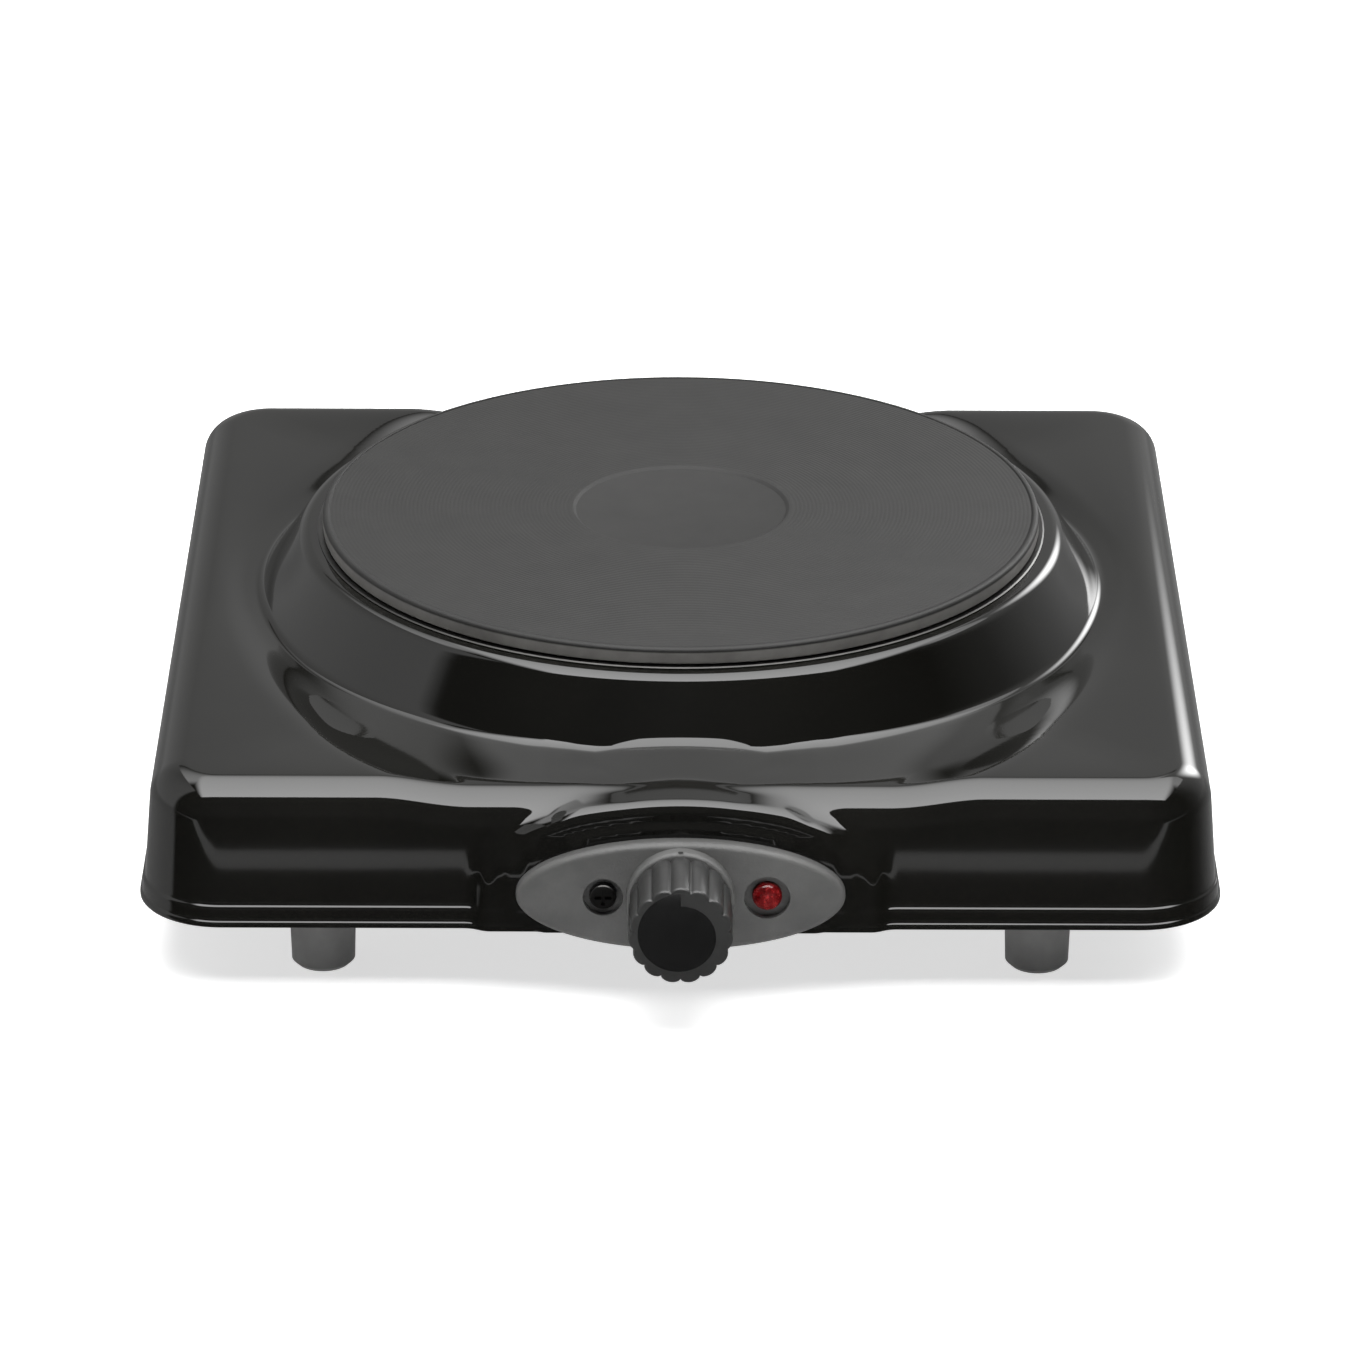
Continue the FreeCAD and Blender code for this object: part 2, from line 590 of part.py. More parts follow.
def bezel():
    plate = oval(BEZEL_HALF_W, BEZEL_HALF_H, BEZEL_FRONT, HUMP_FACE)
    front_edge = [e for e in plate.Edges if abs(e.BoundBox.YMax - BEZEL_FRONT) < 0.01]
    plate = plate.makeFillet(1.6, front_edge)
    boss = rod_y(BOSS_R, 0, KNOB_Z, BOSS_FRONT, HUMP_FACE)
    boss_edge = [e for e in boss.Edges if abs(e.BoundBox.YMax - BOSS_FRONT) < 0.01]
    plate = plate.fuse(boss.makeFillet(1.0, boss_edge))
    plate = plate.cut(rod_y(BEZEL_HOLE_R, 0, KNOB_Z, BOSS_FRONT - 1, HUMP_FACE + 1))
    plate = plate.cut(rod_y(4.9, SCREW_X, KNOB_Z, BEZEL_FRONT - 1, TRIM_RECESS_FLOOR))
    plate = plate.cut(rod_y(1.8, SCREW_X, KNOB_Z, BEZEL_FRONT - 1, HUMP_FACE + 1))
    plate = plate.cut(rod_y(TRIM_RECESS_R, LAMP_X, KNOB_Z, BEZEL_FRONT - 1, TRIM_RECESS_FLOOR))
    plate = plate.cut(rod_y(LENS_R + 0.05, LAMP_X, KNOB_Z, BEZEL_FRONT - 1, HUMP_FACE + 1))
    mark_z = KNOB_Z + BOSS_R - 0.6
    plate = plate.cut(box(-0.6, 0.6, BOSS_FRONT - 1, BOSS_FRONT + 1.2, mark_z, mark_z + 2))
    for side in (-1, 1):
        plate = plate.fuse(rod_y(1.4, side * PEG_X, KNOB_Z, HUMP_FACE - 0.5, BRACKET_BACK - 0.2))
    return plate.removeSplitter()


def bezel_screw():
    head = cross_recess_pan_head(3.35, 2.2, SCREW_X, KNOB_Z, TRIM_RECESS_FLOOR)
    return head.fuse(rod_y(1.7, SCREW_X, KNOB_Z, TRIM_RECESS_FLOOR, -134.5))


def spindle_section(radius, flat, y0, y1):
    """Round bar with one flat on its upper side."""
    bar = rod_y(radius, 0, KNOB_Z, y0, y1)
    return bar.cut(box(-10, 10, y0 - 1, y1 + 1, KNOB_Z + flat, KNOB_Z + 10))


def spiral_face(growth):
    """Dial outline: a spiral that ends in a radial pointer step at the top."""
    points = []
    for k in range(37):
        part = k / 36
        a = 2 * math.pi * part
        radius = DIAL_R_START + (DIAL_R_END - DIAL_R_START) * part ** 1.4 + growth
        points.append(V(radius * math.sin(a), KNOB_FRONT, KNOB_Z + radius * math.cos(a)))
    curve = Part.BSplineCurve()
    curve.interpolate(points)
    step = Part.LineSegment(points[-1], points[0]).toShape()
    return Part.Face(Part.Wire([curve.toShape(), step]))


def knob():
    """Hollow fluted cap with a hub that takes the flatted end of the spindle."""
    body = rod_y(KNOB_R, 0, KNOB_Z, KNOB_FRONT, KNOB_BACK)
    rim = [e for e in body.Edges if abs(e.BoundBox.YMax - KNOB_FRONT) < 0.01]
    body = body.makeFillet(0.9, rim)
    for k in range(FLUTES):
        a = 2 * math.pi * (k + 0.5) / FLUTES
        reach = KNOB_R + 0.6
        groove = rod_y(FLUTE_R, reach * math.sin(a), KNOB_Z + reach * math.cos(a), KNOB_FRONT - 1, KNOB_BACK + 1)
        body = body.cut(groove)
    body = body.cut(ring_y(HUB_R, 9.2, 0, KNOB_Z, KNOB_FRONT + 3.5, KNOB_BACK + 1))
    body = body.cut(spindle_section(SPINDLE_R + 0.02, 1.62, KNOB_FRONT + 3.0, KNOB_BACK + 1))
    body = body.cut(spiral_face(0.02).extrude(V(0, DIAL_T, 0)))
    return body.cut(ring_y(HUB_R - 0.4, HUB_R + 0.2, 0, KNOB_Z, -156.0, KNOB_BACK + 1))


def knob_dial_insert():
    return spiral_face(0.0).extrude(V(0, DIAL_T, 0))


def knob_spring_clip():
    """Split steel ring that squeezes the hub onto the spindle."""
    clip = ring_y(HUB_R - 0.4, HUB_R, 0, KNOB_Z, -155.5, -151.5)
    return clip.cut(box(-0.8, 0.8, -157, -150, KNOB_Z, KNOB_Z + 8))


def lamp_lens():
    """Red cap with a domed front and a hollow back for the neon lamp."""
    front = -147.0
    lens_body = rod_y(LENS_R, LAMP_X, KNOB_Z, front, -137.0)
    edge = [e for e in lens_body.Edges if abs(e.BoundBox.YMax - front) < 0.01]
    lens_body = lens_body.makeFillet(2.2, edge)
    return lens_body.cut(rod_y(2.75, LAMP_X, KNOB_Z, -144.5, -136.0))


def lamp_holder():
    """Push-on sleeve behind the wall that grips the lens and carries the lamp."""
    sleeve = ring_y(LENS_R, 5.2, LAMP_X, KNOB_Z, -140.3, -131.0)
    cap = ring_y(2.3, 5.2, LAMP_X, KNOB_Z, -131.0, -129.5)
    flange = ring_y(LENS_R, 6.2, LAMP_X, KNOB_Z, -140.3, -139.3)
    return fuse([sleeve, cap, flange]).removeSplitter()


def neon_lamp():
    bulb = rod_y(2.4, LAMP_X, KNOB_Z, -144.0, NEON_BACK)
    tip = [e for e in bulb.Edges if abs(e.BoundBox.YMax - -144.0) < 0.01]
    return bulb.makeFillet(2.0, tip)


def lamp_leads():
    """Thin leads: one to the moving contact, one through the resistor to the neutral pin."""
    pin = pin_places()[1]
    beside_pin = pin.x + PIN_R + LEAD_R + 0.05
    to_contact = tube([(LAMP_X - 1.1, NEON_BACK, KNOB_Z), (LAMP_X - 1.1, -127, KNOB_Z), (12, -119, 24.5),
                       (-8, -115.5, 22), (-32, -115.5, 21.8), (-46, -122, 21.6), (-48, -130.6, 22),
                       (-48, -130.6, 25.0)], LEAD_R)
    to_neutral = tube([(LAMP_X + 1.1, NEON_BACK, KNOB_Z), (LAMP_X + 1.1, -129, KNOB_Z),
                       (RESISTOR_X, -123, RESISTOR_Z), (RESISTOR_X, -104, RESISTOR_Z), (25, -80, 25),
                       (16, -58, 26), (beside_pin, pin.y, 32), (beside_pin, pin.y, PIN_BOTTOM + 3)], LEAD_R)
    return group([to_contact, to_neutral])


def dropper_resistor():
    return ring_y(LEAD_R, 1.25, RESISTOR_X, RESISTOR_Z, -119.4, -112.9)


# ---------------------------------------------------------------- thermostat
def thermostat_bracket():
    """Steel plate behind the front wall; the bush and the bezel screw hold it."""
    y0 = HUMP_FACE + SHEET
    y1 = BRACKET_BACK
    plate = box(BRACKET_X[0], BRACKET_X[1], y0, y1, BRACKET_Z[0], BRACKET_Z[1])
    corners = [e for e in plate.Edges if e.BoundBox.YLength > 1]
    plate = plate.makeFillet(2.5, corners)
    plate = plate.cut(rod_y(BUSH_R + 0.05, 0, KNOB_Z, y0 - 1, y1 + 1))
    plate = plate.cut(rod_y(1.72, SCREW_X, KNOB_Z, y0 - 1, y1 + 1))
    plate = plate.cut(rod_y(LENS_R + 0.2, LAMP_X, KNOB_Z, y0 - 1, y1 + 1))
    for z in stack_screw_heights():
        plate = plate.cut(rod_y(1.5, STACK_SCREW_X, z, y0 - 1, y1 + 1))
    for side in (-1, 1):
        plate = plate.cut(rod_y(1.6, side * PEG_X, KNOB_Z, y0 - 1, y1 + 1))
    stop = wedge(180, STOP_R - 0.8, STOP_R + 0.4, y1 - 0.5, y1 + 3.4)
    return plate.fuse(stop).removeSplitter()


def wedge(clock_deg, inner, outer, y0, y1):
    """Piece of a ring, STOP_LUG_DEG wide, at a clock angle from the top as seen from the front."""
    half = STOP_LUG_DEG / 2
    whole = Part.makeCylinder(outer, y1 - y0, V(0, y0, KNOB_Z), V(0, 1, 0))
    whole = whole.cut(rod_y(inner, 0, KNOB_Z, y0 - 1, y1 + 1))
    sector_points = [V(0, y0, KNOB_Z)]
    for degrees in (clock_deg - half, clock_deg, clock_deg + half):
        a = math.radians(degrees)
        sector_points.append(V(20 * math.sin(a), y0, KNOB_Z + 20 * math.cos(a)))
    sector = Part.Face(Part.makePolygon(sector_points + [sector_points[0]])).extrude(V(0, y1 - y0, 0))
    return whole.common(sector)


def thermostat_bush():
    barrel = rod_y(BUSH_R, 0, KNOB_Z, -147.5, BRACKET_BACK + 1.2)
    barrel = barrel.fuse(rod_y(7.4, 0, KNOB_Z, BRACKET_BACK, BRACKET_BACK + 1.2))
    return barrel.cut(rod_y(SPINDLE_R + 0.05, 0, KNOB_Z, -149, BRACKET_BACK + 3)).removeSplitter()


def bush_nut():
    nut = hexagon(14.0, V(0, HUMP_FACE - 2.5, KNOB_Z), V(0, 1, 0), 2.5)
    return nut.cut(rod_y(BUSH_R, 0, KNOB_Z, -150, -140))


def thermostat_spindle():
    """Flatted shaft with a stop lug; its hollow inner end drives the adjusting screw."""
    lug_y0 = BRACKET_BACK + 1.4
    lug_y1 = lug_y0 + 1.8
    shaft = rod_y(SPINDLE_R, 0, KNOB_Z, KNOB_FRONT + 3.2, -134.0)
    flat = box(-10, 10, KNOB_FRONT, KNOB_BACK + 1, KNOB_Z + 1.6, KNOB_Z + 10)
    shaft = shaft.cut(flat)
    shaft = shaft.fuse(rod_y(4.5, 0, KNOB_Z, lug_y0, lug_y1))
    lug = wedge(180 + STOP_LUG_DEG + STOP_GAP_DEG, 4.0, STOP_R, lug_y0, lug_y1)
    shaft = shaft.fuse(lug)
    return shaft.cut(rod_y(2.0, 0, KNOB_Z, -143.0, -133.0)).removeSplitter()


def adjusting_screw():
    return rod_y(PLUNGER_R, 0, KNOB_Z, -141.5, -132.6)


def ceramic_tip():
    tip = rod_y(PLUNGER_R, 0, KNOB_Z, -132.6, TIP_BACK)
    end = [e for e in tip.Edges if abs(e.BoundBox.YMin - TIP_BACK) < 0.01]
    return tip.makeFillet(0.9, end)


def stack_screw_heights():
    middle = sum(STACK_Z) / 2
    return [middle - 3.0, middle + 3.0]


def with_stack_holes(shape, radius, y0, y1):
    for z in stack_screw_heights():
        shape = shape.cut(rod_y(radius, STACK_SCREW_X, z, y0 - 1, y1 + 1))
    return shape


def ceramic_spacers():
    spacers = []
    for y0, y1 in [(BRACKET_BACK, BLADE_1[0]), (BLADE_1[1], BLADE_2[0]),
                   (BLADE_2[1], BIMETAL[0]), (BIMETAL[1], STACK_BACK)]:
        spacer = box(STACK_X[0], STACK_X[1], y0, y1, STACK_Z[0], STACK_Z[1])
        spacer = spacer.makeFillet(1.5, [e for e in spacer.Edges if e.BoundBox.YLength > 1])
        spacers.append(with_stack_holes(spacer, 1.52, y0, y1))
    return group(spacers)


def blade(y0, y1, tab_end):
    """Leaf spring clamped in the stack, with its wiring tab beyond it."""
    leaf = box(STACK_X[0], BLADE_END_X, y0, y1, BLADE_Z[0], BLADE_Z[1])
    leaf = leaf.makeFillet(3.0, [e for e in leaf.Edges
                                 if e.BoundBox.YLength > 0.3 and e.CenterOfMass.x > BLADE_END_X - 1])
    middle = sum(BLADE_Z) / 2
    leaf = leaf.fuse(box(tab_end, STACK_X[0] + 1, y0, y1, middle - 3.15, middle + 3.15))
    return with_stack_holes(leaf, 1.52, y0, y1)


def contact_blades():
    return group([blade(BLADE_1[0], BLADE_1[1], -47.0), blade(BLADE_2[0], BLADE_2[1], -47.0)])


def contact_rivets():
    """Silver contacts, open by 0.7 mm while the control is off."""
    moving = rod_y(1.8, CONTACT_X, KNOB_Z, BLADE_1[1], -129.3)
    fixed = rod_y(1.8, CONTACT_X, KNOB_Z, -128.6, BLADE_2[0])
    return group([moving, fixed])


def bimetal_strip():
    strip = box(STACK_X[0], 4.0, BIMETAL[0], BIMETAL[1], BLADE_Z[0], BLADE_Z[1])
    return with_stack_holes(strip, 1.52, BIMETAL[0], BIMETAL[1])


def stack_screws():
    screws = []
    for z in stack_screw_heights():
        head = rod_y(2.6, STACK_SCREW_X, z, STACK_BACK, STACK_BACK + 1.9)
        screws.append(head.fuse(rod_y(1.5, STACK_SCREW_X, z, HUMP_FACE + SHEET + 0.1, STACK_BACK)))
    return group(screws)


def push_on_terminals():
    """Crimped sleeves on the two tabs of the contact blades."""
    middle = sum(BLADE_Z) / 2
    sleeves = []
    for y0, y1 in (BLADE_1, BLADE_2):
        sleeve = box(SLEEVE_END, -41.0, y0 - 0.6, y1 + 0.9, middle - 3.8, middle + 3.8)
        tab = box(-47.0, -40.0, y0, y1, middle - 3.15, middle + 3.15)
        sleeves.append(sleeve.cut(tab))
    return group(sleeves)


# ---------------------------------------------------------------- mains terminals and wires
def terminal_block():
    x0, x1 = BLOCK_X
    y0, y1 = BLOCK_Y
    block = box(x0, x1, y0, y1, BLOCK_Z[0], BLOCK_Z[1])
    for gap_x in ((POLE_X[0] + POLE_X[1]) / 2, (POLE_X[1] + POLE_X[2]) / 2):
        block = block.cut(box(gap_x - 0.7, gap_x + 0.7, y0 - 1, y1 + 1, 29.5, 34))
    for x in POLE_X:
        block = block.cut(rod_y(2.6, x, POLE_Z, y0 - 1, y1 + 1))
        for y in pole_screw_places():
            block = block.cut(rod_z(2.0, x, y, POLE_Z, BLOCK_Z[1] + 1))
    return block


def pole_screw_places():
    middle = sum(BLOCK_Y) / 2
    return [middle - 4.5, middle + 4.5]


def terminal_inserts():
    inserts = []
    for x in POLE_X:
        insert = ring_y(1.5, 2.6, x, POLE_Z, BLOCK_Y[0] + 2, BLOCK_Y[1] - 2)
        for y in pole_screw_places():
            insert = insert.cut(rod_z(1.3, x, y, POLE_Z, POLE_Z + 4))
        inserts.append(insert)
    return group(inserts)


def terminal_screws():
    screws = []
    for x in POLE_X:
        for y in pole_screw_places():
            screw = rod_z(1.3, x, y, POLE_Z + 1.35, 28.8).fuse(rod_z(1.9, x, y, 28.8, 31.0))
            screws.append(screw.cut(box(x - 3, x + 3, y - 0.3, y + 0.3, 30.2, 32)))
    return group(screws)


def cord_gland():
    """Moulded inlet bush, snapped into the back wall; its bore takes a 7 mm flex."""
    face = INLET_FACE
    inner = face - SHEET
    profile = [(3.6, inner - 8), (3.6, face + 2.4), (7.4, face + 2.4), (8.6, face + 1.2), (8.6, face),
               (INLET_HOLE_R - 0.1, face), (INLET_HOLE_R - 0.1, inner), (7.4, inner), (7.0, inner - 2.5),
               (5.6, inner - 2.5), (5.2, inner - 8)]
    return turn(profile, V(INLET_X, 0, INLET_Z), V(0, 1, 0))


def earth_tag():
    z = BASE_Z + BASE_T
    tag = ring_z(2.1, 4.2, EARTH_X, EARTH_Y, z, z + 0.8)
    crimp = box(EARTH_X - 2.0, EARTH_X + 2.0, EARTH_Y + 3.4, EARTH_Y + 12, z, z + 0.8)
    return tag.fuse(crimp).removeSplitter()


def earth_screw():
    z = BASE_Z - 2.2
    head = rod_z(3.6, EARTH_X, EARTH_Y, z, BASE_Z)
    head = head.cut(box(EARTH_X - 2.2, EARTH_X + 2.2, EARTH_Y - 0.5, EARTH_Y + 0.5, z - 1, z + 1.2))
    head = head.cut(box(EARTH_X - 0.5, EARTH_X + 0.5, EARTH_Y - 2.2, EARTH_Y + 2.2, z - 1, z + 1.2))
    return head.fuse(rod_z(1.95, EARTH_X, EARTH_Y, BASE_Z, BASE_Z + 8))


def earth_nut():
    z = BASE_Z + BASE_T + 0.8
    return hexagon(7.0, V(EARTH_X, EARTH_Y, z), V(0, 0, 1), 3.0).cut(rod_z(1.95, EARTH_X, EARTH_Y, z - 1, z + 5))


def live_wire():
    """From the first pole, up the left side, to the fixed contact."""
    y = sum(BLADE_2) / 2 + 0.15
    z = sum(BLADE_Z) / 2
    return tube([(POLE_X[0], BLOCK_Y[0] + 2, POLE_Z), (POLE_X[0], 48, POLE_Z), (-78, 10, 25), (-84, -35, 24.5),
                 (-82, -88, 26), (-74, y, z), (SLEEVE_END, y, z)], WIRE_R)


def switched_wire():
    """From the moving contact to the outer end of the heating coil."""
    y = sum(BLADE_1) / 2 + 0.15
    z = sum(BLADE_Z) / 2
    pin = pin_places()[0]
    return tube([(SLEEVE_END, y, z), (-62, y, z), (-68, -127, 23.6), (-66, -114, 22.5), (-46, -100, 23),
                 (-12, -94, 23), (14, -88, 25), (pin.x, pin.y, 31), (pin.x, pin.y, PIN_BOTTOM)], WIRE_R)


def neutral_wire():
    """From the middle pole, under the heat shield, to the inner end of the heating coil."""
    pin = pin_places()[1]
    return tube([(POLE_X[1], BLOCK_Y[0] + 2, POLE_Z), (POLE_X[1], 45, POLE_Z), (-30, 12, 24),
                 (-4, -14, 24), (pin.x, pin.y + 6, 27), (pin.x, pin.y, 34), (pin.x, pin.y, PIN_BOTTOM)], WIRE_R)


def earth_wire():
    z = BASE_Z + BASE_T + 0.8 + WIRE_R
    return tube([(POLE_X[2], BLOCK_Y[0] + 2, POLE_Z), (POLE_X[2], 60, POLE_Z), (-38, 50, 26), (-28, 49, 27),
                 (-14, 58, 26), (-14, 72, 23), (EARTH_X + 5, 78, z), (EARTH_X, 70, z)], WIRE_R)


# ---------------------------------------------------------------- export
def sub_parts():
    feet = dict(zip(["foot_front_left", "foot_front_right", "foot_rear_left", "foot_rear_right"],
                    [foot(x, y) for x, y in foot_places()]))
    parts = {
        "housing": housing(),
        "foot_brackets": group([foot_bracket(x, y) for x, y in foot_places()]),
        "base_cover": base_cover(),
        "foot_screws": group([foot_screw(x, y) for x, y in foot_places()]),
        "hot_plate": hot_plate(),
        "heating_coil": heating_coil(),
        "insulation_fill": insulation_fill(),
        "terminal_pins": terminal_pins(),
        "plate_underside_cover": plate_underside_cover(),
        "plate_terminal_block": plate_terminal_block(),
        "plate_stud": rod_z(STUD_R, 0, 0, STUD_BOTTOM, STUD_TOP),
        "cover_nut": m8_nut(BRIDGE_Z[1], SKIRT_BOTTOM - COVER_T),
        "spill_ring": spill_ring(),
        "clamp_bridge": clamp_bridge(),
        "clamp_washer": ring_z(STUD_R + 0.2, 8.0, 0, 0, BRIDGE_Z[0] - 1.6, BRIDGE_Z[0]),
        "clamp_nut": m8_nut(SHIELD_Z + 0.6, BRIDGE_Z[0] - 1.6),
        "heat_shield": heat_shield(),
        "shield_nut": m8_nut(SHIELD_Z - 4.0, SHIELD_Z),
        "bezel": bezel(),
        "bezel_screw": bezel_screw(),
        "knob": knob(),
        "knob_dial_insert": knob_dial_insert(),
        "knob_spring_clip": knob_spring_clip(),
        "lamp_lens": lamp_lens(),
        "lamp_holder": lamp_holder(),
        "neon_lamp": neon_lamp(),
        "dropper_resistor": dropper_resistor(),
        "lamp_leads": lamp_leads(),
        "thermostat_bracket": thermostat_bracket(),
        "thermostat_bush": thermostat_bush(),
        "bush_nut": bush_nut(),
        "thermostat_spindle": thermostat_spindle(),
        "adjusting_screw": adjusting_screw(),
        "ceramic_tip": ceramic_tip(),
        "ceramic_spacers": ceramic_spacers(),
        "contact_blades": contact_blades(),
        "contact_rivets": contact_rivets(),
        "bimetal_strip": bimetal_strip(),
        "stack_screws": stack_screws(),
        "push_on_terminals": push_on_terminals(),
        "terminal_block": terminal_block(),
        "terminal_inserts": terminal_inserts(),
        "terminal_screws": terminal_screws(),
        "cord_gland": cord_gland(),
        "earth_tag": earth_tag(),
        "earth_screw": earth_screw(),
        "earth_nut": earth_nut(),
        "live_wire": live_wire(),
        "switched_wire": switched_wire(),
        "neutral_wire": neutral_wire(),
        "earth_wire": earth_wire(),
    }
    parts.update(feet)
    return parts


os.makedirs("parts", exist_ok=True)
for name, shape in sub_parts().items():
    shape = shape.copy()
    shape.translate(V(0, PLATE_Y, 0))
    shape.exportStep(f"parts/{name}.step")
    box_mm = shape.BoundBox
    print(f"{name:24s} solids {len(shape.Solids)}  valid {shape.isValid()}  volume {shape.Volume:10.1f}  "
          f"x {box_mm.XMin:7.2f} {box_mm.XMax:7.2f}  y {box_mm.YMin:7.2f} {box_mm.YMax:7.2f}  "
          f"z {box_mm.ZMin:6.2f} {box_mm.ZMax:6.2f}")
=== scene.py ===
"""Visual model of the single electric hot plate, in the frame of its CAD assembly.

New meshes stand for the enamelled housing, the turned cooking plate and the knob.  Every other CAD node
keeps its shape and gets the material of its slot.  A small studio and a camera complete the picture.

Lengths in the shape functions are millimetres, with x and y measured from the plate's own axis, and become
metres in the row frame when a mesh is made.  +Z is up and the front faces -Y.
"""
import json
import math

import bpy
import numpy as np
from mathutils import Matrix, Vector


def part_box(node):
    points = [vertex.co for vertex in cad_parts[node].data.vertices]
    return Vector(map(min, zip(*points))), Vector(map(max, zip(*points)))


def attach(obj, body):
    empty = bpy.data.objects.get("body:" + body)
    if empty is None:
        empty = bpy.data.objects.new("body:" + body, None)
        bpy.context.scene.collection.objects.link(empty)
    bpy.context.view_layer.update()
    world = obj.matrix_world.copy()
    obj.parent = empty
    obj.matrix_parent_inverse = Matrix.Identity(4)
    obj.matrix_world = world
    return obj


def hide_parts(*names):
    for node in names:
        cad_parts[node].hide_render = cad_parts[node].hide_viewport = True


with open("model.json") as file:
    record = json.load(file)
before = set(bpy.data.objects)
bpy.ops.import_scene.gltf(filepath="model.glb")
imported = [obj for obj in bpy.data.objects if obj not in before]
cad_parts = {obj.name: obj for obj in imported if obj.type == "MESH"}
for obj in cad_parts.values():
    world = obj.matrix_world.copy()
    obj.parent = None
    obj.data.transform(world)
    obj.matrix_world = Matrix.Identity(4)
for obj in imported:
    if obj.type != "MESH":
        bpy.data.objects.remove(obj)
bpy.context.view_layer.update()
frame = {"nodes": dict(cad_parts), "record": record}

MM = 0.001


def node_box(node):
    """A CAD node's corners in millimetres, measured from the plate's axis."""
    low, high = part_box(node)
    shift = np.array([AXIS_X, AXIS_Y, 0.0])
    return np.array(low) / MM - shift, np.array(high) / MM - shift


plate_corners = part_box("hot_plate")
AXIS_X = (plate_corners[0][0] + plate_corners[1][0]) / 2 / MM
AXIS_Y = (plate_corners[0][1] + plate_corners[1][1]) / 2 / MM
plate_low, plate_high = node_box("hot_plate")
body_low, body_high = node_box("housing")
bezel_high = node_box("bezel")[1]
knob_low, knob_high = node_box("knob")
gland_high = node_box("cord_gland")[1]

# ---- cooking plate
PLATE_R = plate_high[0]
PLATE_TOP = plate_high[2]
PLATE_BOTTOM = plate_low[2]
PLATE_SEGMENTS = 330
PLATE_EDGE_R = 1.1
FLANGE_R = PLATE_R - 0.9
FLANGE_EDGE_BOTTOM = PLATE_TOP - 3.9
FLANGE_EDGE_R = 0.3
FLANGE_BOTTOM = PLATE_TOP - 4.38
PLATE_BODY_R = PLATE_R - 4.0
SUNK_R = 28.0
SUNK_DEPTH = 0.7
SUNK_EASE = 0.06
GROOVE_PITCH = 1.05
GROOVE_DEPTH = 0.05
# Painted light: the heights over which the plate's rim and side turn paler than its top, standing in for the
# light that falls on the side from the front.
PAINTED_LIGHT_RIM_Z = (PLATE_TOP - 1.3, PLATE_TOP - 0.8)

# ---- housing
HALF_W = body_high[0]
PAD_FACE = body_low[1]
PAD_PROUD = 2.0
FRONT = PAD_FACE + PAD_PROUD
BACK = body_high[1]
BOTTOM = body_low[2]
CORNER_R = 21.0
DRAFT = math.radians(4.5)
RIM_STEP = 1.0
RIM_Z = (BOTTOM + 5.3, BOTTOM + 5.9)
BEAD_STEP = 0.45
BEAD_Z = (BOTTOM + 1.5, BOTTOM + 2.0)
BEAD_DRAFT = 0.9
BOTTOM_EDGE = ((0.1, BOTTOM + 0.5), (0.35, BOTTOM + 0.18), (0.8, BOTTOM))
COLLAR_TOP = body_high[2]
FLOOR_TOP = COLLAR_TOP - 16.6
FLOOR_RISE = 1.3
CORNER_LIFT = 2.4
EDGE_R = 9.2
ARC_R = 185.0
ARC_HALF_W = 118.0
STEP_W = 17.0
COLLAR_SLOPE = ((PLATE_R + 6.4, COLLAR_TOP - 1.8), (PLATE_R + 16.4, COLLAR_TOP - 17.0))
COLLAR_BROW_R = 3.6
COLLAR_FOOT_R = 3.4
COLLAR_FOOT_W = 4.0
COLLAR_LIP_R = 1.3
OPENING_R = PLATE_R - 2.0
LIP_BOTTOM = COLLAR_TOP - 6.2
SHEET = 0.5
HUMP_HALF_W = 49.0
HUMP_HALF_H = 23.0
HUMP_RIM_R = 2.6
HUMP_APRON = 13.0
HUMP_FADE_Y = FRONT + 30.0
HUMP_FADE = 20.0
HUMP_CROWN_HALF_W = 24.0
HUMP_CROWN_FADE = 8.0
HUMP_SOFTENING = 0.02
HUMP_BLEND_TOP = 0.9
HUMP_BLEND_SIDE = 6.0
HUMP_BLEND_WALL = 4.0
HUMP_BLEND_FADE = 10.0
HUMP_BLEND_TURN = (0.45, 0.95)
HUMP_REACH = 16.0
HUMP_ZONE_Y = FRONT + 81.0
PAD_HALF_W = 43.0
PAD_HALF_H = 17.0
PAD_STEP = 0.9
INLET_X = -45.0
INLET_Z = 34.0
INLET_PAD_R = 10.8
INLET_PAD_FACE = gland_high[1] - 2.4
INLET_PAD_BLEND = 1.5
INLET_PAD_REACH = 4.0
INLET_ZONE_Y = BACK - 23.0

# ---- mesh density of the housing
CORNER_SAMPLES = 400
SIDE_SAMPLES = 2000
SPACING_SIDE = 2.4
SPACING_CORNER = 1.1
SPACING_ARC = 1.2
SPACING_HUMP = 0.6
SPACING_INLET = 0.9
ARC_END_X = 70.0
ARC_END_REACH = 22.0
HUMP_MARGIN = 7.0
INLET_MARGIN = 2.0
ROUNDING_STEPS = 11
COLLAR_SPACING = 2.2
FLOOR_ROWS = 20
TURN_ROWS = 32
STEP_ROWS = 5
ROW_GAP = 0.6
HALVINGS = 28
INNER_EVERY = 7

# ---- controls
KNOB_Z = (knob_low[2] + knob_high[2]) / 2
KNOB_R = knob_high[0] - 0.05
KNOB_FRONT = knob_low[1]
KNOB_BACK = knob_high[1]
RIDGES = 15
RIDGE_SAMPLES = 16
RIDGE_DEPTH = 1.05
RIDGE_SHARPNESS = 0.55
KNOB_EDGE_R = 0.8
KNOB_BACK_EDGE = 0.6
KNOB_HOLLOW_SCALE = 0.78
KNOB_HOLLOW_DEPTH = 2.5
BEZEL_HALF_W = bezel_high[0]
BEZEL_HALF_H = 14.5
BEZEL_DOME = 2.6


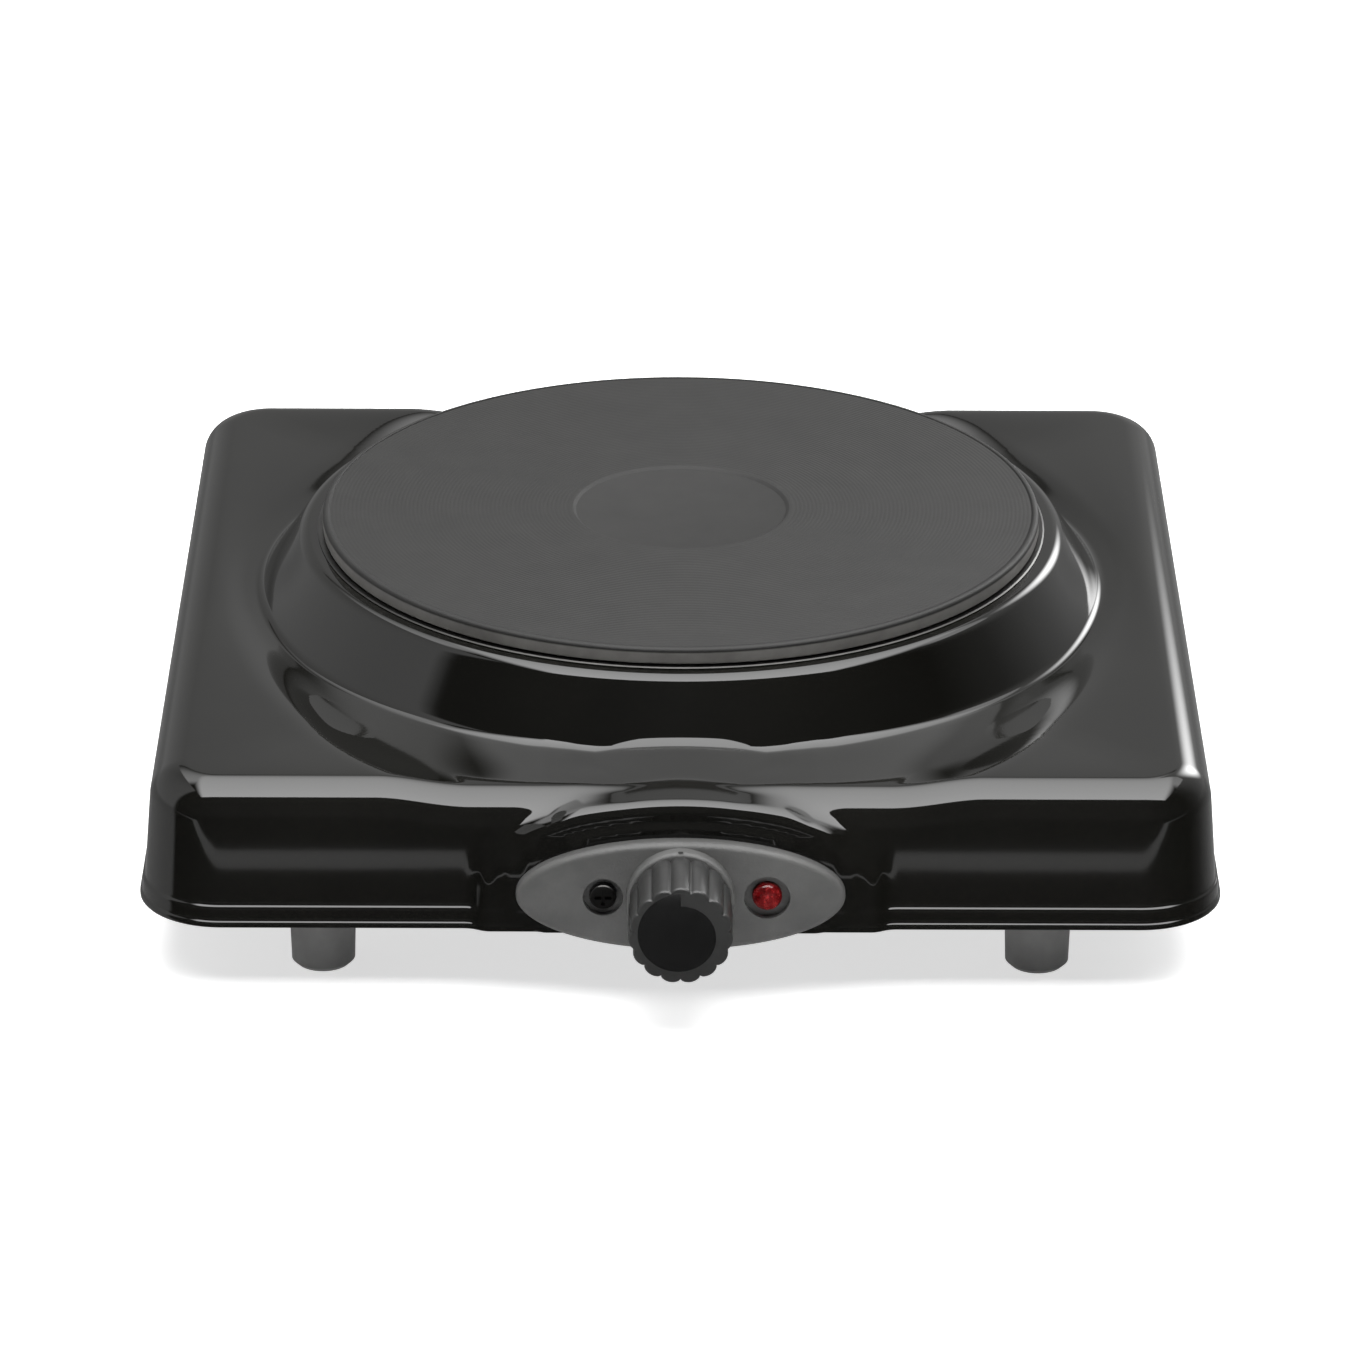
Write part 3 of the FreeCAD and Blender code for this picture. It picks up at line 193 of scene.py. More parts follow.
# ---------------------------------------------------------------- mesh helpers
def to_object(name, points, faces):
    """Mesh object in the row frame from millimetre points about the plate's axis."""
    points = (np.asarray(points, float) + [AXIS_X, AXIS_Y, 0.0]) * MM
    mesh = bpy.data.meshes.new(name)
    mesh.from_pydata(points.tolist(), [], faces)
    mesh.polygons.foreach_set("use_smooth", [True] * len(mesh.polygons))
    mesh.update()
    obj = bpy.data.objects.new(name, mesh)
    bpy.context.scene.collection.objects.link(obj)
    return obj


def grid_faces(columns, rows, close_rows=False):
    """Quads of a tube-like grid: columns run round and close, rows run along."""
    faces = []
    last = rows if close_rows else rows - 1
    for c in range(columns):
        d = (c + 1) % columns
        for r in range(last):
            s = (r + 1) % rows
            faces.append((c * rows + r, d * rows + r, d * rows + s, c * rows + s))
    return faces


def rounded(vertices, radii, steps):
    """Polyline in a plane with each inner corner turned into an arc of its radius."""
    path = [np.array(vertices[0], float)]
    for i in range(1, len(vertices) - 1):
        corner = np.array(vertices[i], float)
        back = np.array(vertices[i - 1], float) - corner
        ahead = np.array(vertices[i + 1], float) - corner
        back /= np.linalg.norm(back)
        ahead /= np.linalg.norm(ahead)
        half = math.acos(np.clip(back @ ahead, -1, 1)) / 2
        reach = radii[i - 1] / math.tan(half)
        bisector = back + ahead
        centre = corner + bisector / np.linalg.norm(bisector) * radii[i - 1] / math.sin(half)
        start = corner + back * reach - centre
        end = corner + ahead * reach - centre
        sweep = math.pi - 2 * half
        for k in range(steps + 1):
            part = k / steps
            mix = (math.sin((1 - part) * sweep) * start + math.sin(part * sweep) * end) / math.sin(sweep)
            path.append(centre + mix)
    path.append(np.array(vertices[-1], float))
    return path


def split(path, longest):
    """The same polyline with no segment over the given length."""
    out = [path[0]]
    for a, b in zip(path[:-1], path[1:]):
        pieces = max(1, math.ceil(np.linalg.norm(b - a) / longest))
        out += [a + (b - a) * (k + 1) / pieces for k in range(pieces)]
    return out


def turned(name, profile, segments):
    """Closed outline of (radius, height) turned about Z; points on the axis become poles."""
    points = []
    angles = np.linspace(0, 2 * math.pi, segments, endpoint=False)
    rings = []
    for r, z in profile:
        if r < 1e-6:
            rings.append([len(points)] * segments)
            points.append((0.0, 0.0, z))
        else:
            rings.append(list(range(len(points), len(points) + segments)))
            points += [(r * math.cos(a), r * math.sin(a), z) for a in angles]
    faces = []
    for lower, upper in zip(rings, rings[1:] + rings[:1]):
        if lower[0] == lower[-1] and upper[0] == upper[-1]:
            continue
        for k in range(segments):
            n = (k + 1) % segments
            quad = (lower[k], lower[n], upper[n], upper[k])
            faces.append(tuple(dict.fromkeys(quad)))
    return to_object(name, points, faces)


def smooth_step(value):
    t = np.clip(value, 0.0, 1.0)
    return t * t * (3 - 2 * t)


def smooth_union(a, b, width):
    """Smaller of two distances, rounded where they are within width of each other."""
    return np.minimum(a, b) - np.maximum(width - np.abs(a - b), 0.0) ** 2 / (4 * width)


# ---------------------------------------------------------------- node helpers
def math_node(tree, operation, a, b=None):
    """One arithmetic node; a and b are sockets or numbers."""
    node = tree.nodes.new("ShaderNodeMath")
    node.operation = operation
    for socket, value in zip(node.inputs, (a, b)):
        if isinstance(value, (int, float)):
            socket.default_value = value
        elif value is not None:
            tree.links.new(value, socket)
    return node.outputs["Value"]


def fade(tree, value, start, end, low=0.0, high=1.0):
    """Smooth change from low to high while value goes from start to end."""
    node = tree.nodes.new("ShaderNodeMapRange")
    node.interpolation_type = "SMOOTHSTEP"
    for name, number in (("From Min", start), ("From Max", end), ("To Min", low), ("To Max", high)):
        node.inputs[name].default_value = number
    tree.links.new(value, node.inputs["Value"])
    return node.outputs["Result"]


def colour_ramp(tree, source, stops):
    """Colour ramp from (position, (red, green, blue)) stops."""
    node = tree.nodes.new("ShaderNodeValToRGB")
    elements = node.color_ramp.elements
    while len(elements) < len(stops):
        elements.new(0.5)
    for element, (position, colour) in zip(elements, stops):
        element.position = position
        element.color = (*colour, 1.0)
    tree.links.new(source, node.inputs["Fac"])
    return node.outputs["Color"]


def axes(tree, vector):
    """The x, y and z sockets of a vector."""
    parts = tree.nodes.new("ShaderNodeSeparateXYZ")
    tree.links.new(vector, parts.inputs["Vector"])
    return parts.outputs


def square_sum(tree, a, b):
    return math_node(tree, "ADD", math_node(tree, "MULTIPLY", a, a), math_node(tree, "MULTIPLY", b, b))


# ---------------------------------------------------------------- materials
def new_material(name, colour, roughness, metallic=0.0, ior=1.5):
    material = bpy.data.materials.new(name)
    material.use_nodes = True
    shader = material.node_tree.nodes["Principled BSDF"]
    shader.inputs["Base Color"].default_value = (*colour, 1.0)
    shader.inputs["Roughness"].default_value = roughness
    shader.inputs["Metallic"].default_value = metallic
    shader.inputs["IOR"].default_value = ior
    return material


def place(material, stretch=(1.0, 1.0, 1.0)):
    """Object coordinates in metres, stretched along the axes."""
    tree = material.node_tree
    coordinates = tree.nodes.new("ShaderNodeTexCoord")
    mapping = tree.nodes.new("ShaderNodeMapping")
    mapping.inputs["Scale"].default_value = stretch
    tree.links.new(coordinates.outputs["Object"], mapping.inputs["Vector"])
    return mapping.outputs["Vector"]


def noise(material, scale, detail=4.0, roughness=0.55, stretch=(1.0, 1.0, 1.0)):
    tree = material.node_tree
    node = tree.nodes.new("ShaderNodeTexNoise")
    node.inputs["Scale"].default_value = scale
    node.inputs["Detail"].default_value = detail
    node.inputs["Roughness"].default_value = roughness
    tree.links.new(place(material, stretch), node.inputs["Vector"])
    return node.outputs["Fac"]


def paint(material, source, stops):
    tree = material.node_tree
    colour = colour_ramp(tree, source, stops)
    tree.links.new(colour, tree.nodes["Principled BSDF"].inputs["Base Color"])


def vary_roughness(material, source, low, high):
    tree = material.node_tree
    node = tree.nodes.new("ShaderNodeMapRange")
    node.inputs["To Min"].default_value = low
    node.inputs["To Max"].default_value = high
    tree.links.new(source, node.inputs["Value"])
    tree.links.new(node.outputs["Result"], tree.nodes["Principled BSDF"].inputs["Roughness"])


def bump(material, source, strength, depth_mm, before=None):
    """Adds a bump of the given depth and returns its normal, so that bumps can be stacked."""
    tree = material.node_tree
    node = tree.nodes.new("ShaderNodeBump")
    node.inputs["Strength"].default_value = strength
    node.inputs["Distance"].default_value = depth_mm * MM
    tree.links.new(source, node.inputs["Height"])
    if before is not None:
        tree.links.new(before, node.inputs["Normal"])
    tree.links.new(node.outputs["Normal"], tree.nodes["Principled BSDF"].inputs["Normal"])
    return node.outputs["Normal"]


def shades(colour, *factors):
    return [tuple(min(1.0, c * f) for c in colour) for f in factors]


def enamel():
    """Fused glass enamel: almost black, mirror smooth, with the faintest orange peel."""
    colour = (0.0036, 0.0035, 0.0028)
    material = new_material("black_enamel", colour, 0.045, ior=1.56)
    dark, light = shades(colour, 0.8, 1.35)
    paint(material, noise(material, 18.0), [(0.35, dark), (0.7, light)])
    vary_roughness(material, noise(material, 9.0, 3.0), 0.035, 0.075)
    bump(material, noise(material, 160.0, 2.0, 0.4), 0.12, 0.02)
    return material


def coated_iron():
    """Turned iron under a matt heat-proof coat: fine grain, faint mottling; below the top edge the rim and
    side are painted paler, as painted light for the light that falls on the front-facing side.
    """
    colour = (0.0100, 0.0098, 0.0092)
    # Painted light: this paler colour on the rim and side stands in for the light that falls on them from
    # the front.
    painted_light_rim_colour = (0.125, 0.122, 0.115)
    material = new_material("coated_iron", colour, 0.56, ior=1.4)
    tree = material.node_tree
    mottle = noise(material, 95.0, 6.0, 0.6)
    dark, mid, light = shades(colour, 0.84, 1.0, 1.2)
    face = colour_ramp(tree, mottle, [(0.3, dark), (0.5, mid), (0.75, light)])
    dark, light = shades(painted_light_rim_colour, 0.75, 1.2)
    rim = colour_ramp(tree, mottle, [(0.3, dark), (0.75, light)])
    height = axes(tree, place(material))["Z"]
    # Below these heights the rim and side take the paler painted-light colour; above them the top keeps the
    # coat's own dark colour.
    low, high = PAINTED_LIGHT_RIM_Z
    mix = tree.nodes.new("ShaderNodeMix")
    mix.data_type = "RGBA"
    tree.links.new(fade(tree, height, low * MM, high * MM), mix.inputs["Factor"])
    tree.links.new(rim, mix.inputs["A"])
    tree.links.new(face, mix.inputs["B"])
    tree.links.new(mix.outputs["Result"], tree.nodes["Principled BSDF"].inputs["Base Color"])
    vary_roughness(material, noise(material, 40.0), 0.48, 0.64)
    first = bump(material, noise(material, 2600.0, 3.0, 0.6), 0.5, 0.03)
    bump(material, noise(material, 420.0, 4.0), 0.25, 0.04, first)
    return material


def textured_plastic(name, colour, roughness, grain, depth):
    """Moulded plastic with a spark-eroded grain."""
    material = new_material(name, colour, roughness, ior=1.5)
    dark, light = shades(colour, 0.82, 1.2)
    paint(material, noise(material, 60.0, 5.0), [(0.35, dark), (0.7, light)])
    vary_roughness(material, noise(material, 300.0, 3.0), roughness - 0.06, roughness + 0.08)
    first = bump(material, noise(material, grain, 2.0, 0.5), 0.6, depth)
    bump(material, noise(material, 90.0, 3.0), 0.15, depth, first)
    return material


def bezel_plastic():
    """Grained plastic whose oval face swells gently from its edge to the middle."""
    material = textured_plastic("textured_plastic", (0.085, 0.085, 0.083), 0.5, 1500.0, 0.16)
    tree = material.node_tree
    x, _, z = axes(tree, place(material))
    from_knob_x = math_node(tree, "SUBTRACT", x, AXIS_X * MM)
    from_knob_z = math_node(tree, "SUBTRACT", z, KNOB_Z * MM)
    square = square_sum(tree, math_node(tree, "DIVIDE", from_knob_x, BEZEL_HALF_W * MM),
                        math_node(tree, "DIVIDE", from_knob_z, BEZEL_HALF_H * MM))
    before = tree.nodes["Principled BSDF"].inputs["Normal"].links[0].from_socket
    bump(material, math_node(tree, "SUBTRACT", 1.0, square), 1.0, BEZEL_DOME, before)
    return material


def gloss_plastic(name, colour, roughness=0.08):
    material = new_material(name, colour, roughness, ior=1.5)
    dark, light = shades(colour, 0.8, 1.3)
    paint(material, noise(material, 120.0, 3.0), [(0.3, dark), (0.75, light)])
    vary_roughness(material, noise(material, 700.0, 2.0), roughness * 0.7, roughness * 1.6)
    bump(material, noise(material, 900.0, 2.0), 0.08, 0.01)
    return material


def metal(name, colour, roughness, stretch=(1.0, 1.0, 1.0)):
    """Bare or plated metal with a fine grain, directional where it is stretched."""
    material = new_material(name, colour, roughness, metallic=1.0)
    dark, light = shades(colour, 0.8, 1.12)
    paint(material, noise(material, 130.0, 4.0, 0.6), [(0.3, dark), (0.72, light)])
    vary_roughness(material, noise(material, 540.0, 3.0, 0.6, stretch), roughness * 0.75, roughness * 1.3)
    bump(material, noise(material, 900.0, 3.0, 0.6, stretch), 0.3, 0.02)
    return material


def galvanised():
    """Zinc coated sheet with its crystalline spangle."""
    colour = (0.5, 0.51, 0.52)
    material = new_material("zinc_steel", colour, 0.42, metallic=1.0)
    tree = material.node_tree
    cells = tree.nodes.new("ShaderNodeTexVoronoi")
    cells.inputs["Scale"].default_value = 140.0
    cells.inputs["Randomness"].default_value = 1.0
    tree.links.new(place(material), cells.inputs["Vector"])
    split_colour = tree.nodes.new("ShaderNodeSeparateColor")
    tree.links.new(cells.outputs["Color"], split_colour.inputs["Color"])
    crystal = split_colour.outputs["Red"]
    paint(material, crystal, [(0.1, (0.40, 0.41, 0.42)), (0.5, colour), (0.9, (0.6, 0.61, 0.62))])
    vary_roughness(material, crystal, 0.34, 0.5)
    bump(material, noise(material, 1200.0, 3.0), 0.15, 0.015)
    return material


def ceramic(name, colour):
    material = new_material(name, colour, 0.72, ior=1.55)
    dark, light = shades(colour, 0.88, 1.04)
    paint(material, noise(material, 240.0, 5.0, 0.65), [(0.35, dark), (0.65, light)])
    bump(material, noise(material, 1500.0, 4.0), 0.4, 0.03)
    return material


def sleeve(name, colour):
    """Silicone or glass-fibre sleeving with a fine uneven surface."""
    material = new_material(name, colour, 0.5, ior=1.43)
    dark, light = shades(colour, 0.8, 1.15)
    paint(material, noise(material, 350.0, 4.0), [(0.35, dark), (0.68, light)])
    bump(material, noise(material, 2200.0, 2.0), 0.3, 0.02)
    return material


def red_glass():
    """Clear red plastic, mottled like a faceted lens."""
    material = new_material("red_lens", (0.55, 0.012, 0.016), 0.12, ior=1.49)
    shader = material.node_tree.nodes["Principled BSDF"]
    shader.inputs["Transmission Weight"].default_value = 0.55
    paint(material, noise(material, 700.0, 3.0, 0.7),
          [(0.32, (0.09, 0.001, 0.002)), (0.52, (0.26, 0.006, 0.008)), (0.72, (0.62, 0.06, 0.06))])
    bump(material, noise(material, 600.0, 2.0), 0.5, 0.12)
    return material


def clear_glass():
    material = new_material("lamp_glass", (0.95, 0.93, 0.9), 0.03, ior=1.5)
    material.node_tree.nodes["Principled BSDF"].inputs["Transmission Weight"].default_value = 0.9
    bump(material, noise(material, 500.0, 2.0), 0.1, 0.02)
    return material


SLOT_MATERIALS = {
    "black_enamel": enamel,
    "coated_iron": coated_iron,
    "blued_steel": lambda: metal("blued_steel", (0.07, 0.069, 0.067), 0.3),
    "textured_plastic": bezel_plastic,
    "knob_plastic": lambda: textured_plastic("knob_plastic", (0.026, 0.026, 0.0255), 0.36, 1300.0, 0.02),
    "dial_gloss": lambda: gloss_plastic("dial_gloss", (0.006, 0.006, 0.006)),
    "foot_plastic": lambda: textured_plastic("foot_plastic", (0.11, 0.11, 0.108), 0.5, 700.0, 0.08),
    "red_lens": red_glass,
    "zinc_steel": galvanised,
    "plated_fasteners": lambda: metal("plated_fasteners", (0.42, 0.42, 0.40), 0.34),
    "bare_steel": lambda: metal("bare_steel", (0.36, 0.355, 0.35), 0.4, (1.0, 8.0, 8.0)),
    "aluminised_sheet": lambda: metal("aluminised_sheet", (0.7, 0.71, 0.72), 0.3, (6.0, 1.0, 1.0)),
    "resistance_wire": lambda: metal("resistance_wire", (0.26, 0.24, 0.22), 0.5),
    "packed_powder": lambda: ceramic("packed_powder", (0.78, 0.77, 0.73)),
    "steatite": lambda: ceramic("steatite", (0.8, 0.77, 0.7)),
    "brass_turned": lambda: metal("brass_turned", (0.68, 0.5, 0.22), 0.3, (1.0, 10.0, 1.0)),
    "spring_bronze": lambda: metal("spring_bronze", (0.6, 0.4, 0.2), 0.3, (10.0, 1.0, 1.0)),
    "contact_silver": lambda: metal("contact_silver", (0.82, 0.81, 0.79), 0.25),
    "bimetal": lambda: metal("bimetal", (0.52, 0.48, 0.42), 0.36, (10.0, 1.0, 1.0)),
    "tinned_brass": lambda: metal("tinned_brass", (0.62, 0.62, 0.59), 0.32),
    "lamp_plastic": lambda: textured_plastic("lamp_plastic", (0.7, 0.69, 0.65), 0.45, 1200.0, 0.02),
    "lamp_glass": clear_glass,
    "resistor_body": lambda: ceramic("resistor_body", (0.6, 0.48, 0.31)),
    "nylon": lambda: textured_plastic("nylon", (0.72, 0.7, 0.62), 0.42, 900.0, 0.02),
    "gland_rubber": lambda: textured_plastic("gland_rubber", (0.018, 0.018, 0.018), 0.55, 1100.0, 0.03),
    "brown_sleeve": lambda: sleeve("brown_sleeve", (0.16, 0.07, 0.035)),
    "blue_sleeve": lambda: sleeve("blue_sleeve", (0.03, 0.12, 0.4)),
    "white_sleeve": lambda: sleeve("white_sleeve", (0.72, 0.71, 0.66)),
    "green_sleeve": lambda: sleeve("green_sleeve", (0.06, 0.3, 0.06)),
}
made_materials = {}


def slot_material(slot):
    if slot not in made_materials:
        made_materials[slot] = SLOT_MATERIALS[slot]()
    return made_materials[slot]


def finish_piece(obj, body, slot, *nodes):
    """Give a new piece its material, its body and the CAD nodes that it stands for."""
    obj.data.materials.append(slot_material(slot))
    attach(obj, body)
    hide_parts(*nodes)


# ---------------------------------------------------------------- housing shell
def fine_outline():
    """Closely spaced points and outward normals once round the bottom edge."""
    x0 = HALF_W - CORNER_R
    y0 = FRONT + CORNER_R
    y1 = BACK - CORNER_R
    corners = [(x0, y0, -90), (x0, y1, 0), (-x0, y1, 90), (-x0, y0, 180)]
    points, normals = [], []
    for (cx, cy, start), (nx, ny, _) in zip(corners, corners[1:] + corners[:1]):
        for k in range(CORNER_SAMPLES):
            a = math.radians(start + 90 * k / CORNER_SAMPLES)
            normals.append((math.cos(a), math.sin(a)))
            points.append((cx + CORNER_R * math.cos(a), cy + CORNER_R * math.sin(a)))
        a = math.radians(start + 90)
        normal = (math.cos(a), math.sin(a))
        here = np.array([cx, cy]) + CORNER_R * np.array(normal)
        there = np.array([nx, ny]) + CORNER_R * np.array(normal)
        for k in range(SIDE_SAMPLES):
            points.append(tuple(here + (there - here) * k / SIDE_SAMPLES))
            normals.append(normal)
    return np.array(points), np.array(normals)


def outline_samples():
    """Points and outward normals round the bottom edge, closer together where the shape is busy."""
    points, normals = fine_outline()
    x, y = points.T
    spacing = np.full(len(points), SPACING_SIDE)
    spacing[np.abs(normals).max(axis=1) < 0.9999] = SPACING_CORNER
    on_end = np.abs(normals[:, 1]) > 0.99
    spacing[on_end & (np.abs(np.abs(x) - ARC_END_X) < ARC_END_REACH)] = SPACING_ARC
    spacing[on_end & (y < 0) & (np.abs(x) < HUMP_HALF_W + HUMP_MARGIN)] = SPACING_HUMP
    spacing[on_end & (y > 0) & (np.abs(x - INLET_X) < INLET_PAD_R + INLET_MARGIN)] = SPACING_INLET
    step = np.linalg.norm(np.roll(points, -1, axis=0) - points, axis=1)
    count = np.concatenate([[0.0], np.cumsum(step / spacing)])
    total = int(round(count[-1]))
    wanted = np.arange(total) * count[-1] / total
    ends = np.vstack([points, points[:1]])
    directions = np.vstack([normals, normals[:1]])
    plan = np.stack([np.interp(wanted, count, ends[:, i]) for i in (0, 1)], axis=1)
    outward = np.stack([np.interp(wanted, count, directions[:, i]) for i in (0, 1)], axis=1)
    return plan, outward / np.linalg.norm(outward, axis=1, keepdims=True)


def corner_lift(x, y):
    """Height of the top above the shallow recess: zero inside the two large arcs, full outside."""
    middle = (FRONT + BACK) / 2
    inside = ARC_R - np.hypot(np.abs(x) + ARC_R - ARC_HALF_W, y - middle)
    return CORNER_LIFT * (1 - smooth_step(inside / STEP_W))


def hump_lift(x, y):
    """How far the hump's top is raised above its arched front edge, to run into the floor behind it."""
    across = np.clip(np.abs(x) / HUMP_HALF_W, 0, 1)
    arch = KNOB_Z + HUMP_HALF_H * np.sqrt(1 - across ** 2)
    near = (y - PAD_FACE) / HUMP_APRON
    near = np.maximum((near + 1 - np.sqrt((near - 1) ** 2 + HUMP_SOFTENING)) / 2, 0)
    level = FLOOR_TOP + FLOOR_RISE * smooth_step((HUMP_FADE_Y - y) / HUMP_FADE)
    inner = 1 - smooth_step((np.abs(x) - HUMP_CROWN_HALF_W) / HUMP_CROWN_FADE)
    return np.maximum(level - arch, 0) * inner * near


def hump_distance(points):
    """Rounded distance to the raised apron over the controls and the oval pad on its face."""
    x, y, z = points[..., 0], points[..., 1], points[..., 2]
    above = np.maximum(z - hump_lift(x, y) - KNOB_Z, 0)
    scaled = np.sqrt((x / HUMP_HALF_W) ** 2 + (above / HUMP_HALF_H) ** 2) + 1e-9
    slope = np.sqrt((x / HUMP_HALF_W ** 2) ** 2 + (above / HUMP_HALF_H ** 2) ** 2) / scaled + 1e-9
    side = (scaled - 1) / slope
    oval = np.hypot(x / PAD_HALF_W, (z - KNOB_Z) / PAD_HALF_H)
    set_back = PAD_STEP * smooth_step((oval - 1.0) * PAD_HALF_H / PAD_STEP)
    ahead = PAD_FACE + set_back - y
    a = side + HUMP_RIM_R
    b = ahead + HUMP_RIM_R
    corner = np.hypot(np.maximum(a, 0), np.maximum(b, 0))
    return np.minimum(np.maximum(a, b), 0) + corner - HUMP_RIM_R


def hump_blend(base, ways):
    """Width of the rounding between the hump and the shell on the top and on the wall."""
    away = smooth_step((np.abs(base[..., 0]) - HUMP_CROWN_HALF_W) / HUMP_BLEND_FADE)
    on_top = HUMP_BLEND_TOP + (HUMP_BLEND_SIDE - HUMP_BLEND_TOP) * away
    low, high = HUMP_BLEND_TURN
    return HUMP_BLEND_WALL + (on_top - HUMP_BLEND_WALL) * smooth_step((ways[..., 2] - low) / (high - low))


def inlet_pad_distance(points):
    """Distance to the round pad that carries the cord's inlet on the back wall."""
    x, y, z = points[..., 0], points[..., 1], points[..., 2]
    side = np.hypot(x - INLET_X, z - INLET_Z) - INLET_PAD_R
    return np.maximum(side, y - INLET_PAD_FACE)


def push_out(base, directions, distance, blend, reach):
    """Move points along their directions onto the smooth union of the base and another form."""
    low = np.zeros(base.shape[:-1])
    high = np.full(base.shape[:-1], reach)
    for _ in range(HALVINGS):
        middle = (low + high) / 2
        value = smooth_union(middle, distance(base + directions * middle[..., None]), blend)
        inside = value < 0
        low = np.where(inside, middle, low)
        high = np.where(inside, high, middle)
    return base + directions * ((low + high) / 2)[..., None]


def collar_profile():
    """(radius, height) points from the collar's lip over its slope to the level floor."""
    (r_high, z_high), (r_low, z_low) = COLLAR_SLOPE
    slope = (z_high - z_low) / (r_high - r_low)
    brow = r_high + (COLLAR_TOP - z_high) / slope
    foot = r_high + (FLOOR_TOP - z_high) / slope
    corners = [(OPENING_R, LIP_BOTTOM), (OPENING_R, COLLAR_TOP), (brow, COLLAR_TOP), (foot, FLOOR_TOP),
               (foot + COLLAR_FOOT_W, FLOOR_TOP)]
    path = rounded(corners, [COLLAR_LIP_R, COLLAR_BROW_R, COLLAR_FOOT_R], ROUNDING_STEPS)
    return split(path, COLLAR_SPACING)


def top_rows(edge):
    """Rows of the collar and the floor, out to the points where the floor turns over the edge."""
    unit = edge / np.linalg.norm(edge, axis=1, keepdims=True)
    profile = collar_profile()
    rows = []
    for r, z in profile:
        flat = unit * r
        rows.append(np.column_stack([flat, z + corner_lift(*flat.T)]))
    start = unit * profile[-1][0]
    for k in range(1, FLOOR_ROWS):
        part = k / FLOOR_ROWS
        flat = start + (edge - start) * part
        floor = FLOOR_TOP + FLOOR_RISE * smooth_step(part)
        rows.append(np.column_stack([flat, floor + corner_lift(*flat.T)]))
    return rows


def wall_heights():
    """Heights of the rows round the rolled rim and the bead below it."""
    return [RIM_Z[1] + ROW_GAP, *np.linspace(RIM_Z[1], RIM_Z[0], STEP_ROWS), RIM_Z[0] - ROW_GAP,
            BEAD_Z[1] + ROW_GAP, *np.linspace(BEAD_Z[1], BEAD_Z[0], STEP_ROWS), BOTTOM + 1.0]


def housing_rows():
    """Base surface of the shell as (columns, rows, 3), with the direction each point may move in."""
    plan, outward = outline_samples()
    columns = len(plan)
    tan = math.tan(DRAFT)

    def level_row(inset, z):
        return np.column_stack([plan - outward * np.broadcast_to(inset, columns)[:, None],
                                np.broadcast_to(z, columns)])

    top = np.full(columns, FLOOR_TOP)
    for _ in range(3):
        edge_inset = (top - EDGE_R - BOTTOM) * tan + EDGE_R / math.cos(DRAFT) + RIM_STEP
        edge = level_row(edge_inset, top)[:, :2]
        top = FLOOR_TOP + FLOOR_RISE + corner_lift(*edge.T)

    rows = top_rows(edge)
    ways = [np.tile([0.0, 0.0, 1.0], (columns, 1))] * len(rows)
    for k in range(TURN_ROWS + 1):
        a = (math.pi / 2 - DRAFT) * k / TURN_ROWS
        rows.append(level_row(edge_inset - EDGE_R * math.sin(a), top - EDGE_R * (1 - math.cos(a))))
        ways.append(np.column_stack([outward * math.sin(a), np.full(columns, math.cos(a))]))

    wall_top = top - EDGE_R * (1 - math.sin(DRAFT))
    wall_bottom = RIM_Z[1] + ROW_GAP
    for part in (0.25, 0.5, 0.75):
        z = wall_top + (wall_bottom - wall_top) * part
        rows.append(level_row((z - BOTTOM) * tan + RIM_STEP, z))
    for z in wall_heights():
        step = (RIM_STEP - BEAD_STEP) * smooth_step((z - RIM_Z[0]) / (RIM_Z[1] - RIM_Z[0]))
        step += BEAD_STEP * smooth_step((z - BEAD_Z[0]) / (BEAD_Z[1] - BEAD_Z[0]))
        rows.append(level_row((z - BOTTOM) * tan * BEAD_DRAFT + step, z))
    for inset, z in BOTTOM_EDGE:
        rows.append(level_row(inset, z))
    wall_way = np.column_stack([outward * math.cos(DRAFT), np.full(columns, math.sin(DRAFT))])
    ways += [wall_way] * (len(rows) - len(ways))
    return np.stack(rows, axis=1), np.stack(ways, axis=1)


def grid_normals(points):
    """Unit normals of a grid whose columns close; outward for rows that run from the axis to the rim."""
    across = np.roll(points, -1, axis=0) - np.roll(points, 1, axis=0)
    along = np.gradient(points, axis=1)
    normal = np.cross(along, across)
    return normal / np.maximum(np.linalg.norm(normal, axis=2, keepdims=True), 1e-9)


def housing_shell():
    """Enamelled sheet: the base surface with the hump and the inlet's pad pushed out, and an inside."""
    surface, ways = housing_rows()
    near_front = surface[..., 1:2] < HUMP_ZONE_Y
    humped = push_out(surface, ways, hump_distance, hump_blend(surface, ways), HUMP_REACH)
    at_back = surface[..., 1:2] > INLET_ZONE_Y
    surface = np.where(near_front, humped, surface)
    padded = push_out(surface, ways, inlet_pad_distance, INLET_PAD_BLEND, INLET_PAD_REACH)
    surface = np.where(at_back, padded, surface)
    inside = (surface - grid_normals(surface) * SHEET)[:, ::-1][:, 2:-1:INNER_EVERY]
    whole = np.concatenate([surface, inside], axis=1)
    columns, rows = whole.shape[:2]
    shell = to_object("enamel_housing", whole.reshape(-1, 3), grid_faces(columns, rows, close_rows=True))
    finish_piece(shell, "chassis", "black_enamel", "housing")


